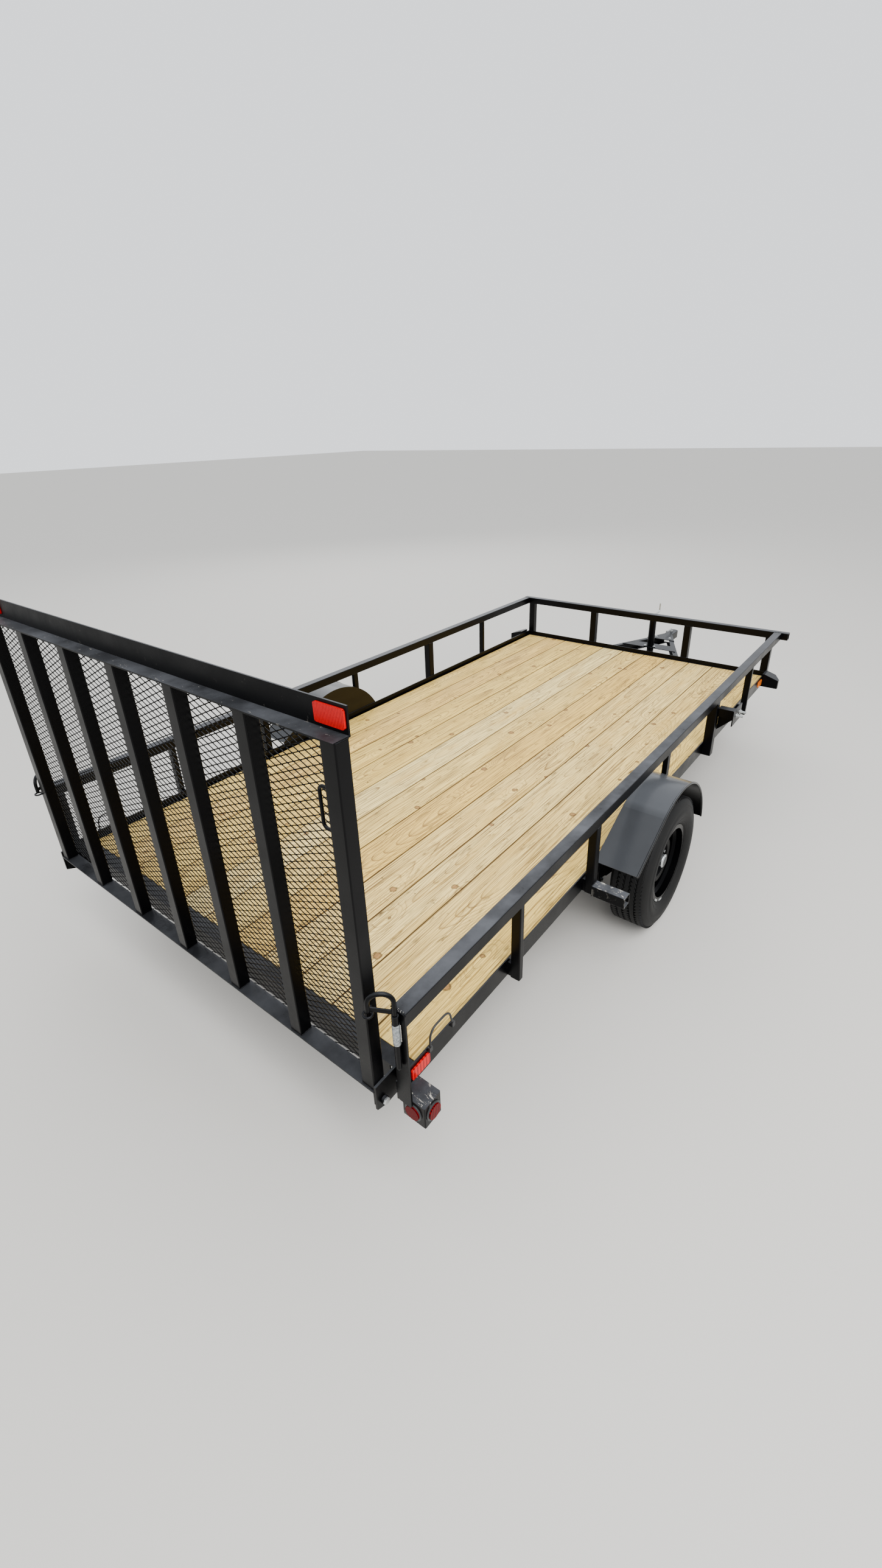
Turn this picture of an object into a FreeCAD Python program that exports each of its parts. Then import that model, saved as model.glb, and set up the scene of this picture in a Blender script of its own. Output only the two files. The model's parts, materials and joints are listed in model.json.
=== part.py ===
import FreeCAD, Part
import math
import os

os.makedirs("parts", exist_ok=True)

V = FreeCAD.Vector

# Single-axle flat-deck utility trailer with a rear ramp gate.
# Frame of the part: X forward, Y to the left, Z up, floor at Z = 0.
# Lengths along X are first counted from the rear end of the deck boards,
# and save() moves every piece so that the overall length is centred on X = 0.

# Deck boards
board_pitch = 184.15
board_gap = 3.0
board_count = 11
board_thick = 38.1
board_length = 4066.0
deck_over_axle = 168.0
deck_side_gap = 14.0
deck_end_gap = 2.0

# Perimeter frame: rolled angle, boards lying on its flange
angle_leg = 76.2
angle_flange = 76.2
angle_thick = 4.8
cross_leg = 63.5
cross_flange = 50.8
cross_thick = 4.8
cross_count = 7
rear_flange = 50.8
rear_leg = 76.2
lip_width = 12.0
lip_gap = 0.3
lip_thick = 3.0

# Side rails and their uprights, square tube
tube = 50.8
tube_wall = 3.2
tube_round = 4.0
rail_height = 338.0
front_rail_overrun = 44.0
rear_post_back = -102.0
upright_thick = 6.0
upright_drop = 1.0
upright_round = 8.0
# uprights, by their rear face: ahead of the boards' rear end, behind the fender's tail,
# ahead of the axle, and behind the boards' front end
post_thin = 25.4
post_wide = 38.1
post_pad_height = 60.0
first_post_ahead = 491.0
step_back = 125.0
wheel_post_ahead = 198.0
spare_arm_back = 1426.0
spare_arm_lead = 26.0
front_post_back = 724.0
# each front upright: distance of its right face left of the centre line
front_post_y = (-432.0, 372.0)

# Tongue and coupler
tongue_angle = 25.0
tongue_depth = 76.2
tongue_flange = 38.1
tongue_thick = 5.0
arm_split = 0.5
plate_inset = 16.0
plate_back = 46.0
plate_front = 80.0
tongue_reach = 967.2
coupler_wing_back = 364.0
coupler_width = 76.0
coupler_height = 62.0
coupler_wall = 5.0
coupler_fit = 0.3
nose_setback = 180.0
ball_radius = 25.4
ball_clear = 0.6
lever_back = 40.0
lever_width = 16.0
lever_length = 150.0
plate_thick = 5.0

# Jack
jack_back = 610.0
jack_tube_r = 28.5
jack_tube_wall = 3.2
jack_inner_r = 25.2
jack_inner_wall = 3.2
jack_top_above_deck = 215.0
jack_tube_below_tongue = 110.0
jack_cap = 20.0
jack_travel = 250.0
jack_flange_r = 45.0
jack_flange_round = 13.0
jack_pad = 150.0
jack_pad_thick = 5.0
crank_rod_r = 6.5
crank_reach = 130.0

# Running gear
axle_back_of_middle = 388.0
tyre_radius = 332.0
tyre_width = 190.0
tread_width = 140.0
shoulder_drop = 30.0
rim_radius = 195.0
rim_seat_radius = 178.0
rim_width = 152.4
rim_wall = 5.0
well_depth = 14.0
tyre_gap = 7.0
fender_plate = 3.0
fender_clear = 74.0
fender_width = 196.0
fender_bead_r = 5.0
fender_tail_back = 54.0
fender_tail_rise = 210.0
fender_front_rise = 61.0
step_reach = 145.0
step_rise = 11.0
seat_gap = 0.3
axle_tube_r = 30.2
spindle_r = 17.0
hub_r = 62.0
hub_cap_r = 31.0
disc_thick = 5.0
wheel_offset = 12.0
bolt_circle_r = 57.15
stud_r = 6.35
stud_count = 5
stud_clear = 0.1
vent_count = 10
vent_r = 14.0
vent_circle_r = 128.0
spring_span = 660.0
spring_width = 44.5
leaf_thick = 7.0
leaf_count = 4
leaf_step = 0.22
eye_r = 16.0
u_bolt_r = 5.2
spring_drop = 62.0
spring_inset = 40.0
hanger_width = 60.0
hanger_thick = 5.0

# Ramp gate
gate_side_gap = 44.625
gate_post_count = 7
gate_post_depth = 44.5
gate_post_front = -108.0
gate_foot_rise = 11.0
gate_top_rise = 1138.0
gate_angle_leg = 76.2
gate_angle_thick = 4.8
gate_low_leg = 50.8
mesh_thick = 3.0
mesh_cell_y = 203.2
mesh_cell_z = 101.6
mesh_strand = 10.0
handle_rod_r = 5.0
handle_reach = 47.0
handle_height = 119.0
handle_top_drop = 140.0
hinge_x = -130.0
hinge_drop = 38.0
hinge_pin_r = 8.0
pin_clear = 0.1
lug_thick = 8.0
ear_thick = 8.0
ear_gap = 1.0
ear_back = -156.0

# Latches at the rear posts
latch_inset = 24.6
latch_tube_r = 11.0
latch_collar_r = 10.5
latch_low_r = 8.5
latch_tip_r = 8.0
latch_rod_r = 7.0
latch_tube_length = 79.0
latch_tube_drop = 114.0
latch_collar_length = 30.0
latch_low_length = 52.0
latch_tip_length = 51.0
latch_top_rise = 77.0
latch_span_x = 46.7
latch_leg = 62.0
latch_bend = 34.0
latch_bar_drop = 43.0
latch_bar_fall = 20.0
latch_bar_height = 14.0
latch_bar_thick = 5.0
keeper_rod_r = 3.5
keeper_ring_r = 13.0
keeper_drop = 9.0
keeper_shank = 30.0

# Lamps, reflectors and guards
lamp_box_back = -88.0
lamp_box_x = 76.0
lamp_box_y = 88.0
lamp_box_z = 86.0
lamp_box_rise = 8.0
lamp_r = 25.4
grommet_r = 31.0
grommet_thick = 4.0
lamp_proud = 5.0
reflector_length = 84.0
reflector_height = 42.0
reflector_thick = 6.0
gate_reflector_length = 98.0
gate_reflector_height = 50.0
guard_length = 95.0
guard_out = 112.0
guard_low = 62.0
guard_high = 94.0
guard_setback = 30.0
wire_r = 3.5
wire_start_x = 46.0
wire_span = 115.0
wire_rise = 66.0
wire_bend = 34.0

# Spare wheel carrier
spare_arm_reach = 92.0
spare_arm_drop = 32.0
spare_plate_height = 92.0
spare_plate_length = 160.0
spare_plate_thick = 6.0
spare_stud_spacing = 67.2
spare_stud_ahead = 20.0
spare_stud_length = 34.0

# Derived places
deck_z = tyre_radius + deck_over_axle
axle_x = board_length / 2 - axle_back_of_middle
deck_width = board_count * board_pitch
half_deck = deck_width / 2
leg_in = half_deck + deck_side_gap
leg_out = leg_in + angle_thick
flange_in = leg_out - angle_flange
rail_in = leg_out
rail_out = rail_in + tube
bed_z = deck_z - board_thick
frame_bottom = bed_z - angle_thick
frame_top = frame_bottom + angle_leg
front_in = board_length + deck_end_gap
front_out = front_in + angle_thick
rail_top = deck_z + rail_height
rail_bottom = rail_top - tube
rail_back = rear_post_back + upright_thick
rear_member_back = -board_gap - rear_flange
gate_half = rail_in - gate_side_gap
coupler_tip_x = front_out + tongue_reach
coupler_wing_x = coupler_tip_x - coupler_wing_back
jack_x = coupler_tip_x - jack_back
fender_radius = tyre_radius + fender_clear
fender_tail_x = axle_x - fender_radius - fender_tail_back
fender_tail_z = tyre_radius + fender_tail_rise
fender_front_z = tyre_radius + fender_front_rise
step_top = deck_z + step_rise
step_x = fender_tail_x - step_back
spare_arm_x = board_length - spare_arm_back
# side uprights, flush with the rails' outer face: rear face, size along the rail, size across it
side_posts = (
    (first_post_ahead, post_thin, post_wide),
    (step_x + tube - post_wide, post_wide, post_wide),
    (axle_x + wheel_post_ahead, post_wide, post_thin),
    (spare_arm_x - spare_arm_lead, tube, tube),
    (board_length - front_post_back, post_thin, post_wide),
)
wheel_in = leg_out + fender_plate + tyre_gap
wheel_out = wheel_in + tyre_width
wheel_mid = (wheel_in + wheel_out) / 2
fender_out = leg_out + fender_width
gate_back = gate_post_front - gate_post_depth
gate_foot_z = deck_z + gate_foot_rise
gate_top_z = deck_z + gate_top_rise
gate_step = (2 * gate_half - tube) / (gate_post_count - 1)
hinge_z = deck_z - hinge_drop
latch_x = rear_post_back - seat_gap - latch_tube_r
latch_y = rail_out - latch_inset
latch_top_z = rail_top + latch_top_rise
keeper_x = latch_x - latch_span_x
shank_y = gate_half + seat_gap + keeper_rod_r
keeper_y = shank_y + keeper_ring_r
latch_leg_z = latch_top_z - latch_leg
tongue_top = frame_bottom
tongue_bottom = tongue_top - tongue_depth
cross_last = front_out - angle_flange
cross_step = cross_last / cross_count
tongue_back_x = (cross_count - 1) * cross_step + cross_flange
tongue_slope = math.tan(math.radians(tongue_angle))
nose_x = coupler_tip_x - nose_setback
nose_y = coupler_width / 2 - coupler_wall
front_reach = coupler_tip_x
rear_reach = keeper_x - keeper_ring_r - keeper_rod_r
origin_x = (front_reach + rear_reach) / 2


def save(name, *solids):
    shape = solids[0] if len(solids) == 1 else Part.Compound(list(solids))
    moved = shape.copy()
    moved.translate(V(-origin_x, 0, 0))
    moved.exportStep("parts/" + name + ".step")


def box(x0, x1, y0, y1, z0, z1):
    return Part.makeBox(x1 - x0, y1 - y0, z1 - z0, V(x0, y0, z0))


def fuse(shapes):
    body = shapes[0]
    if len(shapes) > 1:
        body = body.multiFuse(shapes[1:])
    return body.removeSplitter()


def mirror_y(shape):
    return shape.mirror(V(0, 0, 0), V(0, 1, 0))


def save_pair(name, *left):
    """The left-hand solids and their mirror images, in one file."""
    save(name, *left, *[mirror_y(s) for s in left])


def rounded_bar(x0, x1, y0, y1, z0, z1, axis, radius):
    bar = box(x0, x1, y0, y1, z0, z1)
    span = (x1 - x0, y1 - y0, z1 - z0)[axis]
    edges = []
    for edge in bar.Edges:
        a, b = edge.Vertexes[0].Point, edge.Vertexes[1].Point
        if abs(abs((b - a)[axis]) - span) < 0.01:
            edges.append(edge)
    return bar.makeFillet(radius, edges)


def tube_bar(x0, x1, y0, y1, z0, z1, axis, radius):
    """Rectangular tube along one axis, rounded outside, open at both ends."""
    wall = [0 if i == axis else tube_wall for i in range(3)]
    bore = box(x0 + wall[0], x1 - wall[0], y0 + wall[1], y1 - wall[1], z0 + wall[2], z1 - wall[2])
    return rounded_bar(x0, x1, y0, y1, z0, z1, axis, radius).cut(bore)


def plate(points, thickness, normal):
    """Flat plate: corner points in order, thickened along normal."""
    wire = Part.makePolygon([V(*p) for p in points] + [V(*points[0])])
    return Part.Face(wire).extrude(V(*normal) * thickness)


def pipe(edges, radius):
    """Round bar along a chain of edges."""
    spine = Part.Wire(edges)
    first = edges[0].Vertexes[0].Point
    direction = edges[0].tangentAt(edges[0].FirstParameter)
    circle = Part.Wire(Part.makeCircle(radius, first, direction))
    return spine.makePipeShell([circle], True, True)


def rod(path_points, radius, bend):
    """Round bar along straight runs joined by arcs of the given bend radius."""
    edges = []
    start = V(*path_points[0])
    for i in range(1, len(path_points) - 1):
        corner = V(*path_points[i])
        back = (V(*path_points[i - 1]) - corner).normalize()
        ahead = (V(*path_points[i + 1]) - corner).normalize()
        turn = math.pi - back.getAngle(ahead)
        cut = bend * math.tan(turn / 2)
        p_in = corner + back * cut
        p_out = corner + ahead * cut
        middle = corner + (back + ahead).normalize() * (bend / math.cos(turn / 2) - bend)
        edges.append(Part.LineSegment(start, p_in).toShape())
        edges.append(Part.Arc(p_in, middle, p_out).toShape())
        start = p_out
    edges.append(Part.LineSegment(start, V(*path_points[-1])).toShape())
    return pipe(edges, radius)


def turned(profile, axis_point, axis_dir):
    """Solid of revolution of a closed wire about an axis."""
    return Part.Face(profile).revolve(axis_point, axis_dir, 360)


def ring_profile(points, centre_x, centre_z):
    """Closed outline from (radius, y) pairs, standing in the plane above the wheel centre."""
    corners = [V(centre_x, y, centre_z + r) for r, y in points]
    return Part.makePolygon(corners + [corners[0]])


# Deck

def make_deck():
    boards = []
    for i in range(board_count):
        y0 = -half_deck + i * board_pitch + board_gap / 2
        board = box(0, board_length, y0, y0 + board_pitch - board_gap, bed_z, deck_z)
        rebate = box(board_length - lip_width - lip_gap, board_length + 1, y0 - 1, y0 + board_pitch,
                     deck_z - lip_thick, deck_z + 1)
        boards.append(board.cut(rebate))
    save("deck_boards", *boards)


# Perimeter frame

def make_frame():
    side = fuse([
        box(rear_post_back, front_out, leg_in, leg_out, frame_bottom, frame_top),
        box(rear_member_back, front_in, flange_in, leg_in, frame_bottom, bed_z),
    ])
    save("frame_side_left", side)
    save("frame_side_right", mirror_y(side))
    # the front member carries the strip that holds the boards' ends down, let in flush with the deck
    front = fuse([
        box(front_in, front_out, -leg_in, leg_in, frame_bottom, frame_top),
        box(front_out - angle_flange, front_in, -flange_in, flange_in, frame_bottom, bed_z),
        box(board_length - lip_width, front_in, -half_deck, half_deck, deck_z - lip_thick + seat_gap, deck_z),
    ])
    save("frame_front", front)
    rear = fuse([
        box(rear_member_back, -board_gap, -leg_in, leg_in, deck_z - angle_thick, deck_z),
        box(rear_member_back, rear_member_back + angle_thick, -flange_in, flange_in, deck_z - rear_leg, deck_z),
    ])
    save("frame_rear", rear)
    members = []
    for i in range(cross_count):
        x = i * cross_step
        members.append(fuse([
            box(x, x + cross_flange, -flange_in, flange_in, bed_z - cross_thick, bed_z),
            box(x + cross_flange - cross_thick, x + cross_flange, -flange_in, flange_in, bed_z - cross_leg, bed_z),
        ]))
    save("crossmembers", *members)


# Rails and uprights

def make_rails():
    left = tube_bar(rail_back, front_out, rail_in, rail_out, rail_bottom, rail_top, 0, tube_round)
    save("rail_left", left)
    save("rail_right", mirror_y(left))
    front = tube_bar(front_out, front_out + tube, -rail_out - front_rail_overrun, rail_out,
                     rail_bottom, rail_top, 1, tube_round)
    save("rail_front", front)
    # rear upright: an angle whose web closes the rail's end and carries the latch
    web = rounded_bar(rear_post_back, rail_back, rail_in, rail_out, frame_bottom, rail_top - upright_drop,
                      0, upright_round)
    leg = box(rail_back - 1, rear_post_back + tube, rail_in, rail_in + upright_thick,
              frame_bottom + lamp_box_rise + seat_gap, rail_bottom)
    posts = [fuse([web, leg])]
    # the upright over the wheel stops on the fender, narrow ones have a pad between them and the frame
    over_fender = Part.Face(fender_outline(seat_gap)).extrude(V(0, fender_width, 0))
    for x, along, across in side_posts:
        y = rail_out - across
        post = tube_bar(x, x + along, y, rail_out, frame_bottom, rail_bottom, 2, tube_round)
        if across < tube:
            pad = box(x + tube_round, x + along - tube_round, rail_in, y + tube_wall / 2,
                      frame_bottom, frame_bottom + post_pad_height)
            post = fuse([post, pad])
        posts.append(post.cut(over_fender))
    save_pair("rail_posts", *posts)
    front_posts = []
    for y in (-rail_in, front_post_y[0], front_post_y[1], rail_in - tube):
        front_posts.append(tube_bar(front_out, front_out + tube, y, y + tube, frame_bottom, rail_bottom,
                                    2, tube_round))
    save("rail_posts_front", *front_posts)


# Tongue, coupler and jack

def arm_y(x):
    """Distance of a tongue arm's outer face from the centre line."""
    return nose_y + (nose_x - x) * tongue_slope


def tongue_arm():
    """Left channel of the A-frame: its profile run along the arm, then trimmed to the frame and the centre."""
    reach = (nose_x - tongue_back_x) / math.cos(math.radians(tongue_angle)) + 2 * tongue_depth
    channel = fuse([
        box(-tongue_depth, reach, 0, tongue_thick, 0, tongue_depth),
        box(-tongue_depth, reach, 0, tongue_flange, 0, tongue_thick),
        box(-tongue_depth, reach, 0, tongue_flange, tongue_depth - tongue_thick, tongue_depth),
    ])
    channel.rotate(V(0, 0, 0), V(0, 0, 1), 180 - tongue_angle)
    channel.translate(V(nose_x, nose_y, tongue_bottom))
    return channel.common(box(tongue_back_x, nose_x, arm_split, half_deck, tongue_bottom, tongue_top))


def make_tongue():
    arm = tongue_arm()
    rear_x = jack_x - plate_back
    fore_x = jack_x + plate_front
    rear_y = arm_y(rear_x) - plate_inset
    fore_y = arm_y(fore_x) - plate_inset
    top = plate([(rear_x, -rear_y, tongue_top), (fore_x, -fore_y, tongue_top),
                 (fore_x, fore_y, tongue_top), (rear_x, rear_y, tongue_top)], plate_thick, (0, 0, 1))
    top = top.cut(Part.makeCylinder(jack_tube_r + pin_clear, plate_thick + 2, V(jack_x, 0, tongue_top - 1)))
    save("tongue", fuse([arm, mirror_y(arm), top]))


def make_coupler():
    """A-frame coupler: wings over the arms' nose, narrowing to the ball socket."""
    half = coupler_width / 2
    ball_x = coupler_tip_x - half
    cap_z = tongue_top + coupler_wall
    low_z = cap_z - coupler_height
    wall_across = coupler_wall / math.cos(math.radians(tongue_angle))
    wing_y = arm_y(coupler_wing_x) + coupler_fit + wall_across
    neck_x = coupler_wing_x + (wing_y - half) / tongue_slope
    body = fuse([
        plate([(coupler_wing_x, -wing_y, low_z), (neck_x, -half, low_z), (ball_x, -half, low_z),
               (ball_x, half, low_z), (neck_x, half, low_z), (coupler_wing_x, wing_y, low_z)],
              coupler_height, (0, 0, 1)),
        Part.makeCylinder(half, coupler_height, V(ball_x, 0, low_z)),
    ])
    rim = [e for e in body.Edges if abs(e.BoundBox.ZMin - cap_z) < 0.01 and e.BoundBox.ZMax < cap_z + 0.01
           and e.BoundBox.XMax > coupler_wing_x + 1]
    body = body.makeFillet(coupler_wall - 1.0, rim)
    inner_y = wing_y - wall_across
    inner = half - coupler_wall
    inner_neck = coupler_wing_x + (inner_y - inner) / tongue_slope
    hollow = plate([(coupler_wing_x - 1, -inner_y - tongue_slope, low_z - 1), (inner_neck, -inner, low_z - 1),
                    (ball_x, -inner, low_z - 1), (ball_x, inner, low_z - 1), (inner_neck, inner, low_z - 1),
                    (coupler_wing_x - 1, inner_y + tongue_slope, low_z - 1)],
                   coupler_height - coupler_wall + 1, (0, 0, 1))
    socket_r = ball_radius + ball_clear
    socket_z = cap_z - coupler_wall - socket_r
    throat = Part.makeCylinder(socket_r, socket_z - low_z + 1, V(ball_x, 0, low_z - 1))
    dome = Part.makeSphere(socket_r, V(ball_x, 0, socket_z))
    save("coupler", body.cut(hollow).cut(throat).cut(dome))
    lever_x = ball_x - lever_back
    lever = fuse([
        box(lever_x - 34, lever_x, -lever_width / 2, lever_width / 2, cap_z, cap_z + 12),
        rod([(lever_x - 20, 0, cap_z + 6), (lever_x - 20, 0, cap_z + 30), (lever_x - lever_length, 0, cap_z + 34)],
            lever_width / 2 - 1, 14.0),
    ])
    save("coupler_lever", lever)


def make_jack():
    top_z = deck_z + jack_top_above_deck
    low_z = tongue_bottom - jack_tube_below_tongue
    bore_top = top_z - jack_cap
    outer = Part.makeCylinder(jack_tube_r, top_z - low_z, V(jack_x, 0, low_z))
    cap = Part.makeCylinder(jack_tube_r + 5, jack_cap + 6, V(jack_x, 0, top_z - jack_cap))
    # three-cornered flange bolted on the tongue plate, one corner ahead
    base_z = tongue_top + plate_thick
    corners = []
    for turn in (0, 120, 240):
        angle = math.radians(turn)
        corners.append((jack_x + jack_flange_r * math.cos(angle), jack_flange_r * math.sin(angle), base_z))
    base = fuse([plate(corners, plate_thick, (0, 0, 1)),
                 Part.makeCylinder(jack_tube_r + 5, plate_thick, V(jack_x, 0, base_z))]
                + [Part.makeCylinder(jack_flange_round, plate_thick, V(*c)) for c in corners])
    bore = Part.makeCylinder(jack_tube_r - jack_tube_wall, bore_top - low_z + 1, V(jack_x, 0, low_z - 1))
    save("jack_tube", fuse([outer, base, cap]).cut(bore))
    stem_top = bore_top - jack_travel - 5.0
    stem = Part.makeCylinder(jack_inner_r, stem_top - jack_pad_thick, V(jack_x, 0, jack_pad_thick))
    stem = stem.cut(Part.makeCylinder(jack_inner_r - jack_inner_wall, stem_top, V(jack_x, 0, 60)))
    pad = rounded_bar(jack_x - jack_pad / 2, jack_x + jack_pad / 2, -jack_pad / 2, jack_pad / 2,
                      0, jack_pad_thick, 2, 18.0)
    save("jack_leg", fuse([stem, pad]))
    hub_z = top_z + 6.0
    arm_z = hub_z + 18.0
    crank = fuse([
        Part.makeCylinder(9.0, 26.0, V(jack_x, 0, hub_z)),
        rod([(jack_x, 0, arm_z), (jack_x + crank_reach, 0, arm_z), (jack_x + crank_reach, 0, arm_z + 74)],
            crank_rod_r, 3 * crank_rod_r),
    ])
    save("jack_crank", crank)


# Wheels, axle, springs and fenders

def tyre_profile(mid_y):
    """Cross-section of the tyre: flat crown, round shoulders, bulging side walls, beads on the rim's seats."""
    half = tyre_width / 2
    crown_half = tread_width / 2
    bead_half = rim_width / 2 - rim_wall - 1.0
    bead_r = rim_seat_radius + 2.0
    waist_r = (rim_radius + tyre_radius) / 2
    top = tyre_radius

    def at(r, y):
        return V(axle_x, mid_y + y, tyre_radius + r)

    shoulder = (top - shoulder_drop, half - 4.0)
    edges = [
        Part.Arc(at(top, crown_half), at(top - shoulder_drop * 0.32, half - 9.0), at(*shoulder)),
        Part.Arc(at(*shoulder), at(waist_r, half), at(rim_radius + 3.0, bead_half + 0.5)),
        Part.LineSegment(at(rim_radius + 3.0, bead_half + 0.5), at(bead_r, bead_half)),
        Part.LineSegment(at(bead_r, bead_half), at(bead_r, -bead_half)),
        Part.LineSegment(at(bead_r, -bead_half), at(rim_radius + 3.0, -bead_half - 0.5)),
        Part.Arc(at(rim_radius + 3.0, -bead_half - 0.5), at(waist_r, -half), at(shoulder[0], -shoulder[1])),
        Part.Arc(at(shoulder[0], -shoulder[1]), at(top - shoulder_drop * 0.32, 9.0 - half), at(top, -crown_half)),
        Part.LineSegment(at(top, -crown_half), at(top, crown_half)),
    ]
    return Part.Wire([e.toShape() for e in edges])


def make_wheel(side, sign):
    cx, cz = axle_x, tyre_radius
    axis = V(0, 1, 0)
    centre = V(cx, 0, cz)
    mid = sign * wheel_mid
    save("tyre_" + side, turned(tyre_profile(mid), centre, axis))
    seat = rim_seat_radius + 1.9
    half = rim_width / 2
    well = rim_seat_radius - well_depth
    outer_side = [
        (rim_radius, half), (rim_radius, half - rim_wall), (seat, half - rim_wall), (seat, half - 26.0),
        (well + rim_wall, half - 40.0),
    ]
    inner_side = [(well, half - 44.0), (rim_seat_radius - 3.0, half - 30.0), (rim_seat_radius - 3.0, half)]
    outline = outer_side + [(r, -y) for r, y in reversed(outer_side)]
    outline += [(r, -y) for r, y in reversed(inner_side)] + inner_side
    barrel = turned(ring_profile([(r, mid + y) for r, y in outline], cx, cz), centre, axis)
    # dished centre disc: (radius, distance of its outer face outboard of the wheel's middle)
    dish = [(hub_cap_r + 5, wheel_offset), (74, wheel_offset), (92, wheel_offset + 22), (112, wheel_offset + 26),
            (148, wheel_offset + 8), (well + rim_wall / 2, wheel_offset - 6)]
    outer = [(r, sign * (wheel_mid + y)) for r, y in dish]
    inner = [(r, sign * (wheel_mid + y - disc_thick)) for r, y in reversed(dish)]
    disc = turned(ring_profile(outer + inner, cx, cz), centre, axis)
    holes = []
    for i in range(vent_count):
        turn = 2 * math.pi * i / vent_count
        start = V(cx + vent_circle_r * math.sin(turn), mid - sign * half, cz + vent_circle_r * math.cos(turn))
        holes.append(Part.makeCylinder(vent_r, rim_width, start, V(0, sign, 0)))
    for i in range(stud_count):
        turn = 2 * math.pi * i / stud_count
        start = V(cx + bolt_circle_r * math.sin(turn), mid - sign * half, cz + bolt_circle_r * math.cos(turn))
        holes.append(Part.makeCylinder(stud_r + stud_clear, rim_width, start, V(0, sign, 0)))
    save("rim_" + side, fuse([barrel, disc.cut(Part.Compound(holes))]))
    face = sign * (wheel_mid + wheel_offset - disc_thick)
    hub = [
        (spindle_r + 0.05, -62), (40, -62), (40, -14), (hub_r + 10, -12), (hub_r + 10, 0), (hub_cap_r, 0),
        (hub_cap_r, 44), (hub_cap_r - 6, 50), (12, 50), (12, 46), (spindle_r + 0.05, 30),
    ]
    parts = [turned(ring_profile([(r, face + sign * y) for r, y in hub], cx, cz), centre, axis)]
    for i in range(stud_count):
        turn = 2 * math.pi * i / stud_count
        start = V(cx + bolt_circle_r * math.sin(turn), face - sign * 4, cz + bolt_circle_r * math.cos(turn))
        parts.append(Part.makeCylinder(stud_r, 32.0, start, V(0, sign, 0)))
    save("hub_" + side, fuse(parts))


def make_axle():
    end = wheel_mid + wheel_offset - disc_thick - 66.0
    parts = [Part.makeCylinder(axle_tube_r, 2 * end, V(axle_x, -end, tyre_radius), V(0, 1, 0))]
    for sign in (-1, 1):
        parts.append(Part.makeCylinder(spindle_r, 96.0, V(axle_x, sign * end, tyre_radius), V(0, sign, 0)))
    save("axle", fuse(parts))


def leaf(half_span, sag, x_mid, z_end, y0, y1):
    """One leaf: an arc hanging down by sag between its ends."""
    top = Part.Arc(V(x_mid - half_span, y0, z_end), V(x_mid, y0, z_end - sag), V(x_mid + half_span, y0, z_end))
    z_low = z_end - leaf_thick
    low = Part.Arc(V(x_mid + half_span, y0, z_low), V(x_mid, y0, z_low - sag), V(x_mid - half_span, y0, z_low))
    ends = [
        Part.LineSegment(V(x_mid + half_span, y0, z_end), V(x_mid + half_span, y0, z_low)),
        Part.LineSegment(V(x_mid - half_span, y0, z_low), V(x_mid - half_span, y0, z_end)),
    ]
    wire = Part.Wire([top.toShape(), ends[0].toShape(), low.toShape(), ends[1].toShape()])
    return Part.Face(wire).extrude(V(0, y1 - y0, 0))


def make_springs():
    y_mid = leg_in - spring_inset
    y0 = y_mid - spring_width / 2
    y1 = y_mid + spring_width / 2
    top_at_axle = tyre_radius - axle_tube_r - seat_gap
    eye_z = top_at_axle + spring_drop
    leaves = []
    for i in range(leaf_count):
        share = 1.0 - leaf_step * i
        sag = spring_drop * share * share
        z_end = top_at_axle + sag - i * leaf_thick
        leaves.append(leaf(spring_span / 2 * share, sag, axle_x, z_end, y0, y1))
    for sign in (-1, 1):
        centre = V(axle_x + sign * (spring_span / 2 + 4), y0, eye_z - leaf_thick / 2)
        leaves.append(Part.makeCylinder(eye_r, spring_width, centre, V(0, 1, 0)))
    pack = fuse(leaves)
    # clamp plate under the pack and two U-bolts round the axle
    pack_low = top_at_axle - leaf_count * leaf_thick
    clamp = box(axle_x - 48, axle_x + 48, y_mid - 42, y_mid + 42, pack_low - 7, pack_low + 1)
    reach = axle_tube_r + u_bolt_r + 0.3
    bolts = []
    for dy in (-30.0, 30.0):
        low = pack_low - 20
        high = tyre_radius + reach
        bolts.append(rod([(axle_x - reach, y_mid + dy, low), (axle_x - reach, y_mid + dy, high),
                          (axle_x + reach, y_mid + dy, high), (axle_x + reach, y_mid + dy, low)],
                         u_bolt_r, reach - 0.5))
    save_pair("springs", fuse([pack, clamp] + bolts))
    hangers = []
    for sign in (-1, 1):
        x = axle_x + sign * (spring_span / 2 + 4)
        pieces = []
        for y in (y0 - 1.0 - hanger_thick, y1 + 1.0):
            cheek = [
                (x - hanger_width / 2, y, frame_bottom), (x + hanger_width / 2, y, frame_bottom),
                (x + 20, y, eye_z - 24), (x - 20, y, eye_z - 24),
            ]
            pieces.append(plate(cheek, hanger_thick, (0, 1, 0)))
        pieces.append(Part.makeCylinder(7.0, spring_width + 2 * hanger_thick + 22,
                                        V(x, y0 - hanger_thick - 11, eye_z - leaf_thick / 2), V(0, 1, 0)))
        hangers.append(fuse(pieces).cut(pack))
    save_pair("spring_hangers", *hangers)


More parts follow.
